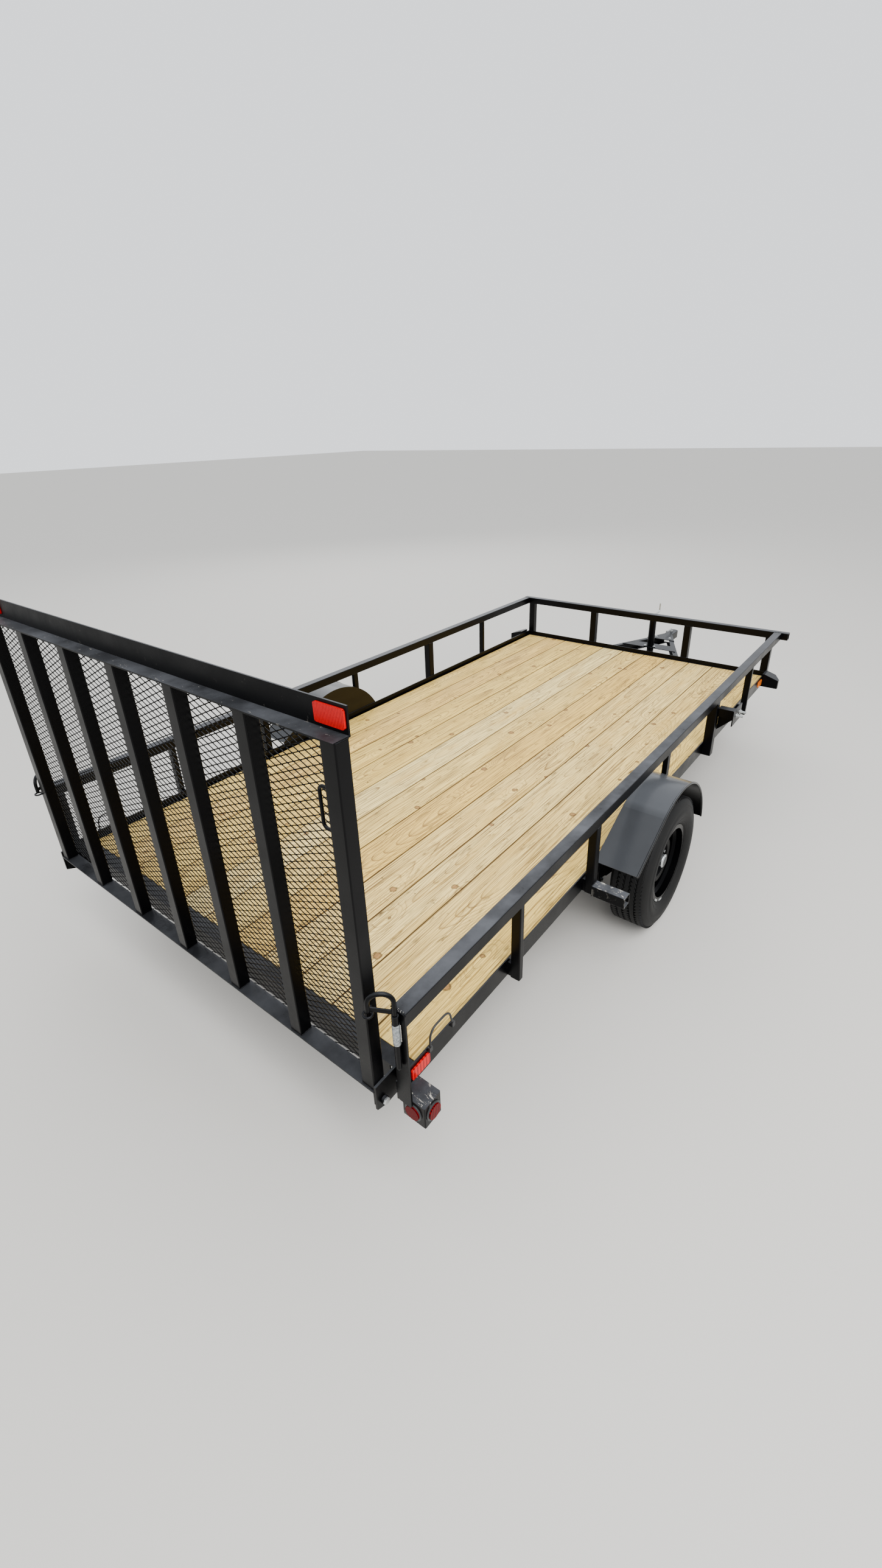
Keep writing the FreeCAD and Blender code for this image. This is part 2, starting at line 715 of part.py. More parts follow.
def fender_edges(offset):
    """Side view of the fender from the tail over the top to the front end: straight tail, then an arc."""
    r = fender_radius + offset
    centre = V(axle_x, leg_out, tyre_radius)
    tail = V(fender_tail_x, leg_out, fender_tail_z) - centre
    reach = math.hypot(tail.x, tail.z)
    tangent = math.atan2(tail.z, tail.x) - math.acos(fender_radius / reach)
    front = math.asin((fender_front_z - tyre_radius) / r)
    middle = (tangent + front) / 2
    outward = V(math.cos(tangent), 0, math.sin(tangent)) * offset

    def at(angle):
        return centre + V(math.cos(angle), 0, math.sin(angle)) * r

    return [
        Part.LineSegment(centre + tail + outward, at(tangent)).toShape(),
        Part.Arc(at(tangent), at(middle), at(front)).toShape(),
    ]


def fender_outline(offset):
    """Closed side view of all that lies under the fender's outer face, down to the axle's height."""
    low_z = tyre_radius
    edges = fender_edges(offset)
    tail = edges[0].Vertexes[0].Point
    front = edges[1].Vertexes[-1].Point
    low_front = V(front.x, leg_out, low_z)
    low_tail = V(tail.x, leg_out, low_z)
    edges.append(Part.LineSegment(front, low_front).toShape())
    edges.append(Part.LineSegment(low_front, low_tail).toShape())
    edges.append(Part.LineSegment(low_tail, tail).toShape())
    return Part.Wire(edges)


def make_fender():
    outer = fender_edges(0)
    inner = fender_edges(-fender_plate)
    ends = [
        Part.LineSegment(outer[1].Vertexes[-1].Point, inner[1].Vertexes[-1].Point).toShape(),
        Part.LineSegment(inner[0].Vertexes[0].Point, outer[0].Vertexes[0].Point).toShape(),
    ]
    band = Part.Face(Part.Wire([outer[0], outer[1], ends[0], inner[1], inner[0], ends[1]]))
    band = band.extrude(V(0, fender_width, 0))
    # inner side plate, welded to the outside of the frame's leg and open below it
    side = Part.Face(fender_outline(0)).extrude(V(0, fender_plate, 0))
    side = side.cut(box(fender_tail_x - 1, axle_x + fender_radius + 1, leg_out - 1, fender_out,
                        tyre_radius - 1, frame_bottom))
    lip_line = [e.copy() for e in fender_edges(-fender_plate / 2)]
    for edge in lip_line:
        edge.translate(V(0, fender_width - fender_bead_r * 0.4, 0))
    fender = fuse([band, side, pipe(lip_line, fender_bead_r)])
    save("fender_left", fender)
    save("fender_right", mirror_y(fender))
    step = tube_bar(step_x, step_x + tube, rail_out, rail_out + step_reach, step_top - tube, step_top, 1, tube_round)
    save_pair("fender_steps", step)


# Ramp gate

def make_gate():
    top = fuse([
        box(gate_back - gate_angle_thick, gate_post_front, -gate_half, gate_half, gate_top_z,
            gate_top_z + gate_angle_thick),
        box(gate_post_front, gate_post_front + gate_angle_thick, -gate_half, gate_half,
            gate_top_z, gate_top_z + gate_angle_leg),
    ])
    save("gate_top", top)
    bottom = [
        box(gate_back - gate_angle_thick, gate_post_front, -gate_half, gate_half,
            gate_foot_z - gate_angle_thick, gate_foot_z),
        box(gate_post_front, gate_post_front + gate_angle_thick, -gate_half, gate_half,
            gate_foot_z - gate_low_leg, gate_foot_z),
    ]
    # hinge lugs under the flange near both ends, with a bolt through each
    lug_out = gate_half - 2.0
    for sign in (-1, 1):
        y = sign * (lug_out - lug_thick / 2) - lug_thick / 2
        bottom.append(box(hinge_x - 20, gate_post_front, y, y + lug_thick, hinge_z - 20,
                          gate_foot_z - gate_angle_thick))
        start = V(hinge_x, sign * (lug_out - lug_thick - 9), hinge_z)
        bottom.append(Part.makeCylinder(hinge_pin_r, lug_thick + ear_gap + ear_thick + 22, start, V(0, sign, 0)))
        head = V(hinge_x, sign * (gate_half + ear_gap + ear_thick + 2.0), hinge_z)
        bottom.append(Part.makeCylinder(13.0, 9.0, head, V(0, sign, 0)))
    save("gate_bottom", fuse(bottom))
    posts = []
    for i in range(gate_post_count):
        y = -gate_half + i * gate_step
        posts.append(tube_bar(gate_back, gate_post_front, y, y + tube, gate_foot_z, gate_top_z, 2, tube_round))
    save("gate_posts", *posts)
    save("gate_mesh", make_mesh())
    # grab handle on the right post's inner side, and a keeper ring for each latch
    y_post = -gate_half + tube
    x_mid = (gate_back + gate_post_front) / 2
    top_z = gate_top_z - handle_top_drop
    handle = rod([(x_mid, y_post, top_z), (x_mid, y_post + handle_reach, top_z),
                  (x_mid, y_post + handle_reach, top_z - handle_height), (x_mid, y_post, top_z - handle_height)],
                 handle_rod_r, 3 * handle_rod_r)
    save("gate_handle", handle)
    ring_z = latch_leg_z - keeper_drop
    ring = Part.makeTorus(keeper_ring_r, keeper_rod_r, V(keeper_x, keeper_y, ring_z), V(0, 0, 1))
    shank = Part.makeCylinder(keeper_rod_r, keeper_shank, V(keeper_x - keeper_rod_r, shank_y, ring_z), V(1, 0, 0))
    save_pair("latch_keepers", fuse([ring, shank]))
    reflectors = []
    z_mid = gate_top_z + gate_angle_leg * 0.55
    for sign in (-1, 1):
        y_mid = sign * (gate_half - 6 - gate_reflector_length / 2)
        reflectors.append(rounded_bar(gate_post_front - reflector_thick, gate_post_front,
                                      y_mid - gate_reflector_length / 2, y_mid + gate_reflector_length / 2,
                                      z_mid - gate_reflector_height / 2, z_mid + gate_reflector_height / 2, 0, 7.0))
    save("gate_reflectors", *reflectors)


def make_mesh():
    """Expanded sheet: one flat panel pierced by rows of diamonds, every second row set half a cell over."""
    x = gate_post_front
    z0, z1 = gate_foot_z + 1.0, gate_top_z - 1.0
    y0, y1 = -gate_half + 2.0, gate_half - 2.0
    outer = Part.makePolygon([V(x, y0, z0), V(x, y1, z0), V(x, y1, z1), V(x, y0, z1), V(x, y0, z0)])
    holes = []
    half_y = mesh_cell_y / 2 - mesh_strand
    half_z = mesh_cell_z / 2 - mesh_strand / 2
    rows = int((z1 - z0 - mesh_strand) / (mesh_cell_z / 2)) - 1
    columns = int((y1 - y0 - mesh_strand) / mesh_cell_y)
    z_first = (z0 + z1 - (rows - 1) * mesh_cell_z / 2) / 2
    for row in range(rows):
        count = columns - row % 2
        zc = z_first + row * mesh_cell_z / 2
        for col in range(count):
            yc = (y0 + y1) / 2 + (col - (count - 1) / 2) * mesh_cell_y
            corners = [V(x, yc - half_y, zc), V(x, yc, zc + half_z), V(x, yc + half_y, zc), V(x, yc, zc - half_z)]
            holes.append(Part.makePolygon(corners + [corners[0]]))
    face = Part.makeFace([outer] + holes, "Part::FaceMakerBullseye")
    return face.extrude(V(mesh_thick, 0, 0))


def make_hinges():
    y0 = gate_half + ear_gap
    profile = [
        (rear_member_back, y0, deck_z - rear_leg), (rear_member_back, y0, deck_z + 4), (-66.0, y0, deck_z + 34),
        (ear_back, y0, deck_z + 34), (ear_back, y0, deck_z - 62), (-120.0, y0, deck_z - rear_leg),
    ]
    ear = plate(profile, ear_thick, (0, 1, 0))
    hole = Part.makeCylinder(hinge_pin_r + pin_clear, ear_thick + 2, V(hinge_x, y0 - 1, hinge_z), V(0, 1, 0))
    save_pair("hinge_ears", ear.cut(hole))


def make_latches():
    """Latch before the rear upright: a bent rod turning in a sleeve, its hooked leg over the gate's keeper ring."""
    foot = rail_top - latch_tube_drop
    tube_top = foot + latch_tube_length
    low_z = foot - latch_low_length
    tip_z = low_z - latch_tip_length + latch_tip_r
    sleeve = Part.makeCylinder(latch_tube_r, latch_tube_length, V(latch_x, latch_y, foot))
    collar = Part.makeCylinder(latch_collar_r, latch_collar_length, V(latch_x, latch_y, tube_top))
    low = Part.makeCylinder(latch_low_r, latch_low_length, V(latch_x, latch_y, low_z))
    tip = Part.makeCylinder(latch_tip_r, low_z - tip_z, V(latch_x, latch_y, tip_z))
    end = Part.makeSphere(latch_tip_r, V(latch_x, latch_y, tip_z))
    arch = rod([(latch_x, latch_y, tube_top + latch_collar_length / 2), (latch_x, latch_y, latch_top_z),
                (keeper_x, keeper_y, latch_top_z), (keeper_x, keeper_y, latch_leg_z)], latch_rod_r, latch_bend)
    high = latch_top_z - latch_bar_drop
    fallen = high - latch_bar_fall
    across = V(keeper_y - latch_y, latch_x - keeper_x, 0).normalize()
    bar = plate([(latch_x, latch_y, fallen), (keeper_x, keeper_y, high), (keeper_x, keeper_y, high - latch_bar_height),
                 (latch_x, latch_y, fallen - latch_bar_height)], latch_bar_thick, across)
    bar.translate(across * (-latch_bar_thick / 2))
    save_pair("latches", fuse([sleeve, collar, low, tip, end, arch, bar]))


# Lamps, reflectors, marker guards and wiring

def make_lamps():
    x0 = lamp_box_back
    x1 = x0 + lamp_box_x
    z1 = frame_bottom + lamp_box_rise
    z0 = z1 - lamp_box_z
    y0 = leg_out
    y1 = y0 + lamp_box_y
    mid_z = (z0 + z1) / 2
    mid_x = (x0 + x1) / 2
    mid_y = (y0 + y1) / 2
    save_pair("lamp_boxes", rounded_bar(x0, x1, y0, y1, z0, z1, 2, 4.0))
    seats = [(V(x0, mid_y, mid_z), V(-1, 0, 0)), (V(mid_x, y1, mid_z), V(0, 1, 0))]
    save_pair("lamp_grommets", *[Part.makeCylinder(grommet_r, grommet_thick, at, way) for at, way in seats])
    save_pair("lamp_lenses", *[Part.makeCylinder(lamp_r, lamp_proud, at + way * grommet_thick, way)
                               for at, way in seats])
    zc = frame_bottom + angle_leg / 2
    red = rounded_bar(-42.0, -42.0 + reflector_length, leg_out, leg_out + reflector_thick,
                      zc - reflector_height / 2, zc + reflector_height / 2, 1, 7.0)
    save_pair("side_reflectors", red)


def make_guards():
    """Wedge guard over the front marker lamp, its top sloping outward, and the amber reflector behind it."""
    x1 = front_out - guard_setback
    x0 = x1 - guard_length
    y0 = leg_out
    y1 = leg_out + guard_out
    z0 = frame_bottom
    wedge = plate([(x0, y0, z0), (x0, y1, z0), (x0, y1, z0 + guard_low), (x0, y0 + 16, z0 + guard_high),
                   (x0, y0, z0 + guard_high)], guard_length, (1, 0, 0))
    corner = plate([(x1 + 1, y1 - 40, z0 - 1), (x1 + 1, y1 + 1, z0 - 1), (x1 - guard_length * 0.7, y1 + 1, z0 - 1)],
                   guard_high + 2, (0, 0, 1))
    save_pair("marker_guards", wedge.cut(corner))
    amber_x = x0 - 10.0
    zc = frame_bottom + angle_leg / 2
    amber = rounded_bar(amber_x - reflector_length, amber_x, leg_out, leg_out + reflector_thick,
                        zc - reflector_height / 2, zc + reflector_height / 2, 1, 7.0)
    save_pair("amber_reflectors", amber)


def make_wire_loops():
    """Lamp wire leaving the rear reflector in a loop over the frame's edge, with a clip at each end."""
    y = leg_out + wire_r
    x0 = wire_start_x
    x1 = x0 + wire_span
    foot = frame_top - 6.0
    top = frame_top + wire_rise
    loop = rod([(x0, y, foot), (x0 + 6, y, top), (x1 - 16, y, top), (x1, y, foot)], wire_r, wire_bend)
    clips = [box(x - 7, x + 7, leg_out, leg_out + 2 * wire_r + 2, foot - 10, foot + 8) for x in (x0, x1)]
    save_pair("wire_loops", fuse([loop] + clips))


def make_spare_carrier():
    x0 = spare_arm_x
    x_mid = x0 + tube / 2
    y_post = -rail_out
    y_face = y_post - spare_arm_reach
    z1 = rail_bottom - spare_arm_drop
    z_mid = z1 - tube / 2
    arm = box(x0, x0 + tube, y_face, y_post, z1 - tube, z1)
    gusset = plate([(x_mid - 3, y_post, z1 - tube), (x_mid - 3, y_face, z1 - tube), (x_mid - 3, y_post, z1 - tube - 90)],
                   6.0, (1, 0, 0))
    face = box(x_mid - spare_plate_length / 2, x_mid + spare_plate_length / 2, y_face - spare_plate_thick, y_face,
               z_mid - spare_plate_height / 2, z_mid + spare_plate_height / 2)
    studs = []
    for sign in (-1, 1):
        start = V(x_mid + spare_stud_ahead + sign * spare_stud_spacing / 2, y_face - spare_plate_thick, z_mid)
        studs.append(Part.makeCylinder(stud_r, spare_stud_length, start, V(0, -1, 0)))
    save("spare_carrier", fuse([arm, gusset, face] + studs))


make_deck()
make_frame()
make_rails()
make_tongue()
make_coupler()
make_jack()
make_wheel("left", 1)
make_wheel("right", -1)
make_axle()
make_springs()
make_fender()
make_gate()
make_hinges()
make_latches()
make_lamps()
make_guards()
make_wire_loops()
make_spare_carrier()
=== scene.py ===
import json
import math
import random

import bmesh
import bpy
from mathutils import Matrix, Vector


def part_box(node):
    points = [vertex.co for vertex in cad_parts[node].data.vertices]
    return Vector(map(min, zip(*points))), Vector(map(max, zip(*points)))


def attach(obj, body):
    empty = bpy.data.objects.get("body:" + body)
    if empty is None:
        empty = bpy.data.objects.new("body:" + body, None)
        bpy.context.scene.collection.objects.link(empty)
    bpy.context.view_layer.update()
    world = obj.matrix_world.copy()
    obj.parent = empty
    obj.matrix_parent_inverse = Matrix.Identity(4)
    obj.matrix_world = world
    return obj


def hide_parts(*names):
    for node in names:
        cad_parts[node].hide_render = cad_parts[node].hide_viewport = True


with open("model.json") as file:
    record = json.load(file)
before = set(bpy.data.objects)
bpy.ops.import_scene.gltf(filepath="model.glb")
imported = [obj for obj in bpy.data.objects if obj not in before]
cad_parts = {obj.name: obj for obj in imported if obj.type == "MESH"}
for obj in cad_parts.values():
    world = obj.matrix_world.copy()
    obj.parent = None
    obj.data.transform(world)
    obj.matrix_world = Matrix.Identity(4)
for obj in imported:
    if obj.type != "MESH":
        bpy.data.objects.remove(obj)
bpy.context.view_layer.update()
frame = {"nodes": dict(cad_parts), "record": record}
nodes = frame["nodes"]

# Lengths are in metres, in the frame of the part: X ahead, Y left, Z up, floor at Z = 0.
MM = 0.001

# Camera: where the picture was taken from, how it was turned, and its focal length
CAMERA_PLACE = (-3.40963, -1.94784, 2.24565)
HEADING_LEFT = 38.382
LOOK_DOWN = 25.78
ROLL = -1.816
SENSOR_HEIGHT = 36.0
CLIP = (0.05, 200.0)
FOCAL_OVER_HEIGHT = 0.409916
SHIFT = (-0.003247, -0.028867)

# Node kinds that are used often
MATH, VECTOR_MATH = "ShaderNodeMath", "ShaderNodeVectorMath"
NOISE, RANGE, MIX = "ShaderNodeTexNoise", "ShaderNodeMapRange", "ShaderNodeMix"
COMBINE, CHANNELS = "ShaderNodeCombineXYZ", "ShaderNodeSeparateColor"
MAPPING, BUMP = "ShaderNodeMapping", "ShaderNodeBump"
TRANSFORM, INSTANCES = "GeometryNodeTransform", "GeometryNodeInstanceOnPoints"

# Sizes of what is added here
PLANK_PITCH = 184.15 * MM
PLANK_GAP = 3.0 * MM
PLANK_COUNT = 11
PLANK_EASE = 2.2 * MM
KNOT_SCALE = 4.0
MESH_LONG = 50.8 * MM
MESH_SHORT = 23.2 * MM
MESH_STRAND = 2.4 * MM
MESH_THICK = 2.3 * MM
MESH_BOND = 9.0 * MM
MESH_LEAN = math.radians(38)
TYRE_SEGMENTS = 128
# a tyre's side from bead to shoulder in mm: radius, and how far it stands in from the widest place
TYRE_SIDE = ((182, 27), (195, 24.5), (199, 18), (207, 12), (209, 12.4), (216, 8), (230, 3.2), (232, 4.2), (244, 1),
             (256, 0), (268, 0.6), (270, 1.8), (282, 3.5), (290, 5.5), (292, 4.6), (302, 8), (311, 12.5), (317, 17))
# tread rows in mm: place across, width, then the share of a pitch they are set on by, and the skew of their blocks
TREAD_ROWS = ((-58, 24, 0.0, 4.0), (-29.5, 26, 0.5, -4.0), (0, 26, 0.0, 4.0), (29.5, 26, 0.5, -4.0), (58, 24, 0.0, 4.0))
TREAD_PITCHES = 96
TREAD_DEPTH = 7.5 * MM
TREAD_CLEAR = 0.4 * MM
TREAD_GROOVE = 1.3 * MM
LUG_COUNT = 5
LUG_CIRCLE = 57.15 * MM
CAP_LENGTH = 45.0 * MM
STUD_LENGTH = 34.0 * MM
DECK_SCREW_INSET = 40.0 * MM
JACK_BOLT_CIRCLE = 45.0 * MM
LATCH_INSET = 11.0 * MM
SLEEVE_FOOT = 103.0 * MM
WELD_INSET = 4.0 * MM
CLAMP_SPREAD = (35.7 * MM, 30.0 * MM)
STUD_SPREAD = 33.6 * MM
RAIL_SPATTER, GATE_SPATTER = 14, 36
WEIGHTS_START_AT = (3.36, 3.72)
WEIGHT_STEP, WEIGHT_RINGS = 0.035, 7
SHARP_ANGLE = 35.0

# Light: strength of the sky, then name, place, size and watts of each lamp
SKY_STRENGTH = 1.7
LAMPS = (("key", (-4.0, -5.0, 7.0), 6.0, 1000.0), ("fill", (5.0, 6.0, 6.0), 7.0, 320.0))
FLOOR_REACH = 60.0


# Helpers

def linear(code):
    """Linear colour of an sRGB hex code."""
    parts = [int(code[i:i + 2], 16) / 255 for i in (1, 3, 5)]
    return tuple(c / 12.92 if c <= 0.04045 else ((c + 0.055) / 1.055) ** 2.4 for c in parts) + (1.0,)


def add(tree, kind, values=None, links=None, stops=None, **settings):
    """One node: settings are its properties, values its inputs, links the sources of its inputs, stops its ramp."""
    node = tree.nodes.new(kind)
    for key, value in settings.items():
        setattr(node, key, value)

    def socket(key):
        if isinstance(key, int):
            return node.inputs[key]
        return next(s for s in node.inputs if s.name == key and not s.is_unavailable)

    for key, value in (values or {}).items():
        socket(key).default_value = value
    for key, source in (links or {}).items():
        for one in (source if isinstance(source, list) else [source]):
            if isinstance(one, bpy.types.Node):
                one = next(s for s in one.outputs if not s.is_unavailable)
            tree.links.new(one, socket(key))
    if stops:
        elements = node.color_ramp.elements
        while len(elements) < len(stops):
            elements.new(0.5)
        for element, (place, colour) in zip(elements, stops):
            element.position = place
            element.color = linear(colour)
    return node


def blank_material(name):
    """A new material, its tree, its shader and its object coordinates."""
    material = bpy.data.materials.new(name)
    material.use_nodes = True
    tree = material.node_tree
    tree.nodes.clear()
    shader = add(tree, "ShaderNodeBsdfPrincipled")
    add(tree, "ShaderNodeOutputMaterial", links={"Surface": shader})
    return material, tree, shader, add(tree, "ShaderNodeTexCoord").outputs["Object"]


def wire(shader, colour, rough=None, bump=None):
    """Links the sources of a shader's colour, roughness and normal."""
    for socket, source in (("Base Color", colour), ("Roughness", rough), ("Normal", bump)):
        if source is not None:
            shader.id_data.links.new(source, shader.inputs[socket])


def show(piece, mesh_material, body, slot, *replaced):
    """Gives a finished piece its material and its body, and hides the nodes that it stands for; slot is not used."""
    if mesh_material is not None:
        piece.data.materials.clear()
        piece.data.materials.append(mesh_material)
    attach(piece, body)
    if replaced:
        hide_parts(*replaced)
    return piece


def new_object(name, data):
    """An object of a mesh, camera or light, in the scene."""
    piece = bpy.data.objects.new(name, data)
    bpy.context.scene.collection.objects.link(piece)
    return piece


def piece_from(bm, name, smooth_angle=SHARP_ANGLE):
    """Object from a finished bmesh, with outward normals and smooth faces up to an angle."""
    bmesh.ops.remove_doubles(bm, verts=bm.verts, dist=1e-6)
    bmesh.ops.recalc_face_normals(bm, faces=bm.faces)
    mesh = bpy.data.meshes.new(name)
    bm.to_mesh(mesh)
    bm.free()
    mesh.shade_smooth()
    mesh.set_sharp_from_angle(angle=math.radians(smooth_angle))
    return new_object(name, mesh)


def solids_of(node):
    """Lowest and highest corner of each separate solid of a CAD node, in the order of X, then Y."""
    bm = bmesh.new()
    bm.from_mesh(nodes[node].data)
    bmesh.ops.remove_doubles(bm, verts=bm.verts, dist=1e-5)
    left = set(bm.verts)
    boxes = []
    while left:
        stack = [left.pop()]
        island = list(stack)
        while stack:
            for edge in stack.pop().link_edges:
                for vert in edge.verts:
                    if vert in left:
                        left.remove(vert)
                        stack.append(vert)
                        island.append(vert)
        low = Vector([min(v.co[i] for v in island) for i in range(3)])
        high = Vector([max(v.co[i] for v in island) for i in range(3)])
        boxes.append((low, high))
    bm.free()
    return sorted(boxes, key=lambda b: (round(b[0].x, 3), b[0].y))


def skin(bm, rings):
    """Faces between each closed ring of vertices and the next."""
    for here, there in zip(rings, rings[1:]):
        for k in range(len(here)):
            m = (k + 1) % len(here)
            bm.faces.new((here[k], here[m], there[m], there[k]))


def turned(bm, profile, centre, segments):
    """Closed (radius, along Y) outline turned about a Y axis through centre."""
    rings = []
    for i in range(segments):
        turn = 2 * math.pi * i / segments
        rings.append([bm.verts.new((centre.x + r * math.sin(turn), centre.y + y, centre.z + r * math.cos(turn)))
                      for r, y in profile])
    skin(bm, rings + rings[:1])


# Geometry node trees

def new_tree(name, **inputs):
    """Geometry node tree with a geometry output and named inputs, given by their kind, and the inputs' sockets."""
    tree = bpy.data.node_groups.new(name, "GeometryNodeTree")
    tree.interface.new_socket("Geometry", in_out="OUTPUT", socket_type="NodeSocketGeometry")
    for kind, titles in inputs.items():
        for title in titles.split(", "):
            tree.interface.new_socket(title, in_out="INPUT", socket_type="NodeSocket" + kind)
    return tree, add(tree, "NodeGroupInput").outputs


def close_tree(tree, source, finish):
    """Ends a tree in Realize Instances and Set Material."""
    solid = add(tree, "GeometryNodeRealizeInstances", links={"Geometry": source})
    painted = add(tree, "GeometryNodeSetMaterial", links={"Geometry": solid, "Material": finish})
    add(tree, "NodeGroupOutput", links={"Geometry": painted})


def grown(name, tree, values, start=None):
    """Plain mesh object from a tree's result; start holds the points or edges that it grows on."""
    carrier = new_object(name + "_carrier", start or bpy.data.meshes.new(name + "_start"))
    modifier = carrier.modifiers.new("grow", "NODES")
    modifier.node_group = tree
    for item in tree.interface.items_tree:
        if item.in_out == "INPUT" and item.name in values:
            modifier[item.identifier] = values[item.name]
    bpy.context.view_layer.update()
    ready = carrier.evaluated_get(bpy.context.evaluated_depsgraph_get())
    mesh = bpy.data.meshes.new_from_object(ready)
    mesh.name = name
    bpy.data.objects.remove(carrier)
    return new_object(name, mesh)


def expanded_sheet_tree():
    """Expanded metal: leaning strands between bonds, every second row set half a diamond over."""
    tree, out = new_tree("expanded_sheet", Int="Columns, Rows", Vector="Place", Material="Finish",
                         Float="Long way, Short way, Strand width, Strand thickness, Bond length, Lean")
    quarter_x = add(tree, MATH, {1: 0.25}, {0: out["Long way"]}, operation="MULTIPLY")
    quarter_y = add(tree, MATH, {1: 0.25}, {0: out["Short way"]}, operation="MULTIPLY")
    run = add(tree, COMBINE, links={"X": quarter_x, "Y": quarter_y})
    reach = add(tree, VECTOR_MATH, links={0: run}, operation="LENGTH")
    length = add(tree, MATH, {1: 2.0}, {0: reach.outputs["Value"]}, operation="MULTIPLY")
    slope = add(tree, MATH, links={0: quarter_y, 1: quarter_x}, operation="ARCTAN2")
    size = add(tree, COMBINE, links={"X": length, "Y": out["Strand width"], "Z": out["Strand thickness"]})
    strand = add(tree, "GeometryNodeMeshCube", links={"Size": size})
    pieces = []
    for way in (1.0, -1.0):
        angle = add(tree, MATH, {1: way}, {0: slope}, operation="MULTIPLY")
        rise = add(tree, MATH, {1: way}, {0: quarter_y}, operation="MULTIPLY")
        turn = add(tree, COMBINE, links={"X": out["Lean"], "Z": angle})
        move = add(tree, COMBINE, links={"X": quarter_x, "Y": rise})
        pieces.append(add(tree, TRANSFORM, links={"Geometry": strand, "Rotation": turn, "Translation": move}))
    bond_width = add(tree, MATH, {1: 1.7}, {0: out["Strand width"]}, operation="MULTIPLY")
    bond_size = add(tree, COMBINE, links={"X": out["Bond length"], "Y": bond_width, "Z": out["Strand thickness"]})
    bond = add(tree, "GeometryNodeMeshCube", links={"Size": bond_size})
    bond_turn = add(tree, COMBINE, links={"X": out["Lean"]})
    pieces.append(add(tree, TRANSFORM, links={"Geometry": bond, "Rotation": bond_turn}))
    unit = add(tree, "GeometryNodeJoinGeometry", links={"Geometry": pieces})
    rows_of_units = []
    for fewer in (1.0, 2.0):
        columns = add(tree, MATH, {1: fewer}, {0: out["Columns"]}, operation="SUBTRACT")
        rows = add(tree, MATH, {1: fewer}, {0: out["Rows"]}, operation="SUBTRACT")
        wide = add(tree, MATH, links={0: columns, 1: out["Long way"]}, operation="MULTIPLY")
        high = add(tree, MATH, links={0: rows, 1: out["Short way"]}, operation="MULTIPLY")
        across = add(tree, MATH, {1: 1.0}, {0: columns}, operation="ADD")
        up = add(tree, MATH, {1: 1.0}, {0: rows}, operation="ADD")
        grid = add(tree, "GeometryNodeMeshGrid",
                   links={"Size X": wide, "Size Y": high, "Vertices X": across, "Vertices Y": up})
        rows_of_units.append(add(tree, INSTANCES, links={"Points": grid, "Instance": unit}))
    sheet = add(tree, "GeometryNodeJoinGeometry", links={"Geometry": rows_of_units})
    stood = add(tree, TRANSFORM, {"Rotation": (math.pi / 2, 0.0, math.pi / 2)},
                {"Geometry": sheet, "Translation": out["Place"]})
    close_tree(tree, stood, out["Finish"])
    return tree


def scatter_tree():
    """A template set on every point, turned by the point's own angles."""
    tree, out = new_tree("set_on_points", Geometry="Points", Object="Template", Material="Finish")
    turn = add(tree, "GeometryNodeInputNamedAttribute", {"Name": "turn"}, data_type="FLOAT_VECTOR")
    angles = add(tree, "FunctionNodeEulerToRotation", links={"Euler": turn})
    template = add(tree, "GeometryNodeObjectInfo", links={"Object": out["Template"]})
    placed = add(tree, INSTANCES,
                 links={"Points": out["Points"], "Instance": template.outputs["Geometry"], "Rotation": angles})
    close_tree(tree, placed, out["Finish"])
    return tree


def bead_tree():
    """A weld: overlapping drops of uneven size along every edge."""
    tree, out = new_tree("weld_bead", Geometry="Seams", Float="Pitch, Radius", Material="Finish")
    line = add(tree, "GeometryNodeMeshToCurve", links={"Mesh": out["Seams"]})
    spots = add(tree, "GeometryNodeResampleCurve", links={"Curve": line, "Length": out["Pitch"]}, mode="LENGTH")
    drop = add(tree, "GeometryNodeMeshIcoSphere", {"Subdivisions": 1}, {"Radius": out["Radius"]})
    size = add(tree, "FunctionNodeRandomValue", {2: 0.75, 3: 1.2, "Seed": 7}, data_type="FLOAT")
    placed = add(tree, INSTANCES, links={"Points": spots, "Instance": drop, "Scale": size.outputs[1]})
    close_tree(tree, placed, out["Finish"])
    return tree


def tread_tree():
    """Rows of tread blocks round the tyre, every second row set half a pitch over."""
    tree, out = new_tree("tread_blocks", Int="Pitches", Float="Radius, Phase, Row at", Vector="Place",
                         Object="Block", Material="Finish")
    ring = add(tree, "GeometryNodeMeshCircle", links={"Vertices": out["Pitches"], "Radius": out["Radius"]})
    # the ring lies flat; each point turns its block to face outwards
    spot = add(tree, "GeometryNodeInputPosition")
    around = add(tree, "FunctionNodeAlignRotationToVector", links={"Vector": spot}, axis="Z")
    block = add(tree, "GeometryNodeObjectInfo", links={"Object": out["Block"]})
    placed = add(tree, INSTANCES, links={"Points": ring, "Instance": block.outputs["Geometry"], "Rotation": around})
    phase = add(tree, COMBINE, links={"Z": out["Phase"]})
    turned_on = add(tree, TRANSFORM, links={"Geometry": placed, "Rotation": phase})
    row = add(tree, COMBINE, links={"Y": out["Row at"]})
    move = add(tree, VECTOR_MATH, links={0: out["Place"], 1: row}, operation="ADD")
    stood = add(tree, TRANSFORM, {"Rotation": (math.pi / 2, 0.0, 0.0)}, {"Geometry": turned_on, "Translation": move})
    close_tree(tree, stood, out["Finish"])
    return tree


SHEET_TREE = expanded_sheet_tree()
SCATTER_TREE = scatter_tree()
BEAD_TREE = bead_tree()
TREAD_TREE = tread_tree()


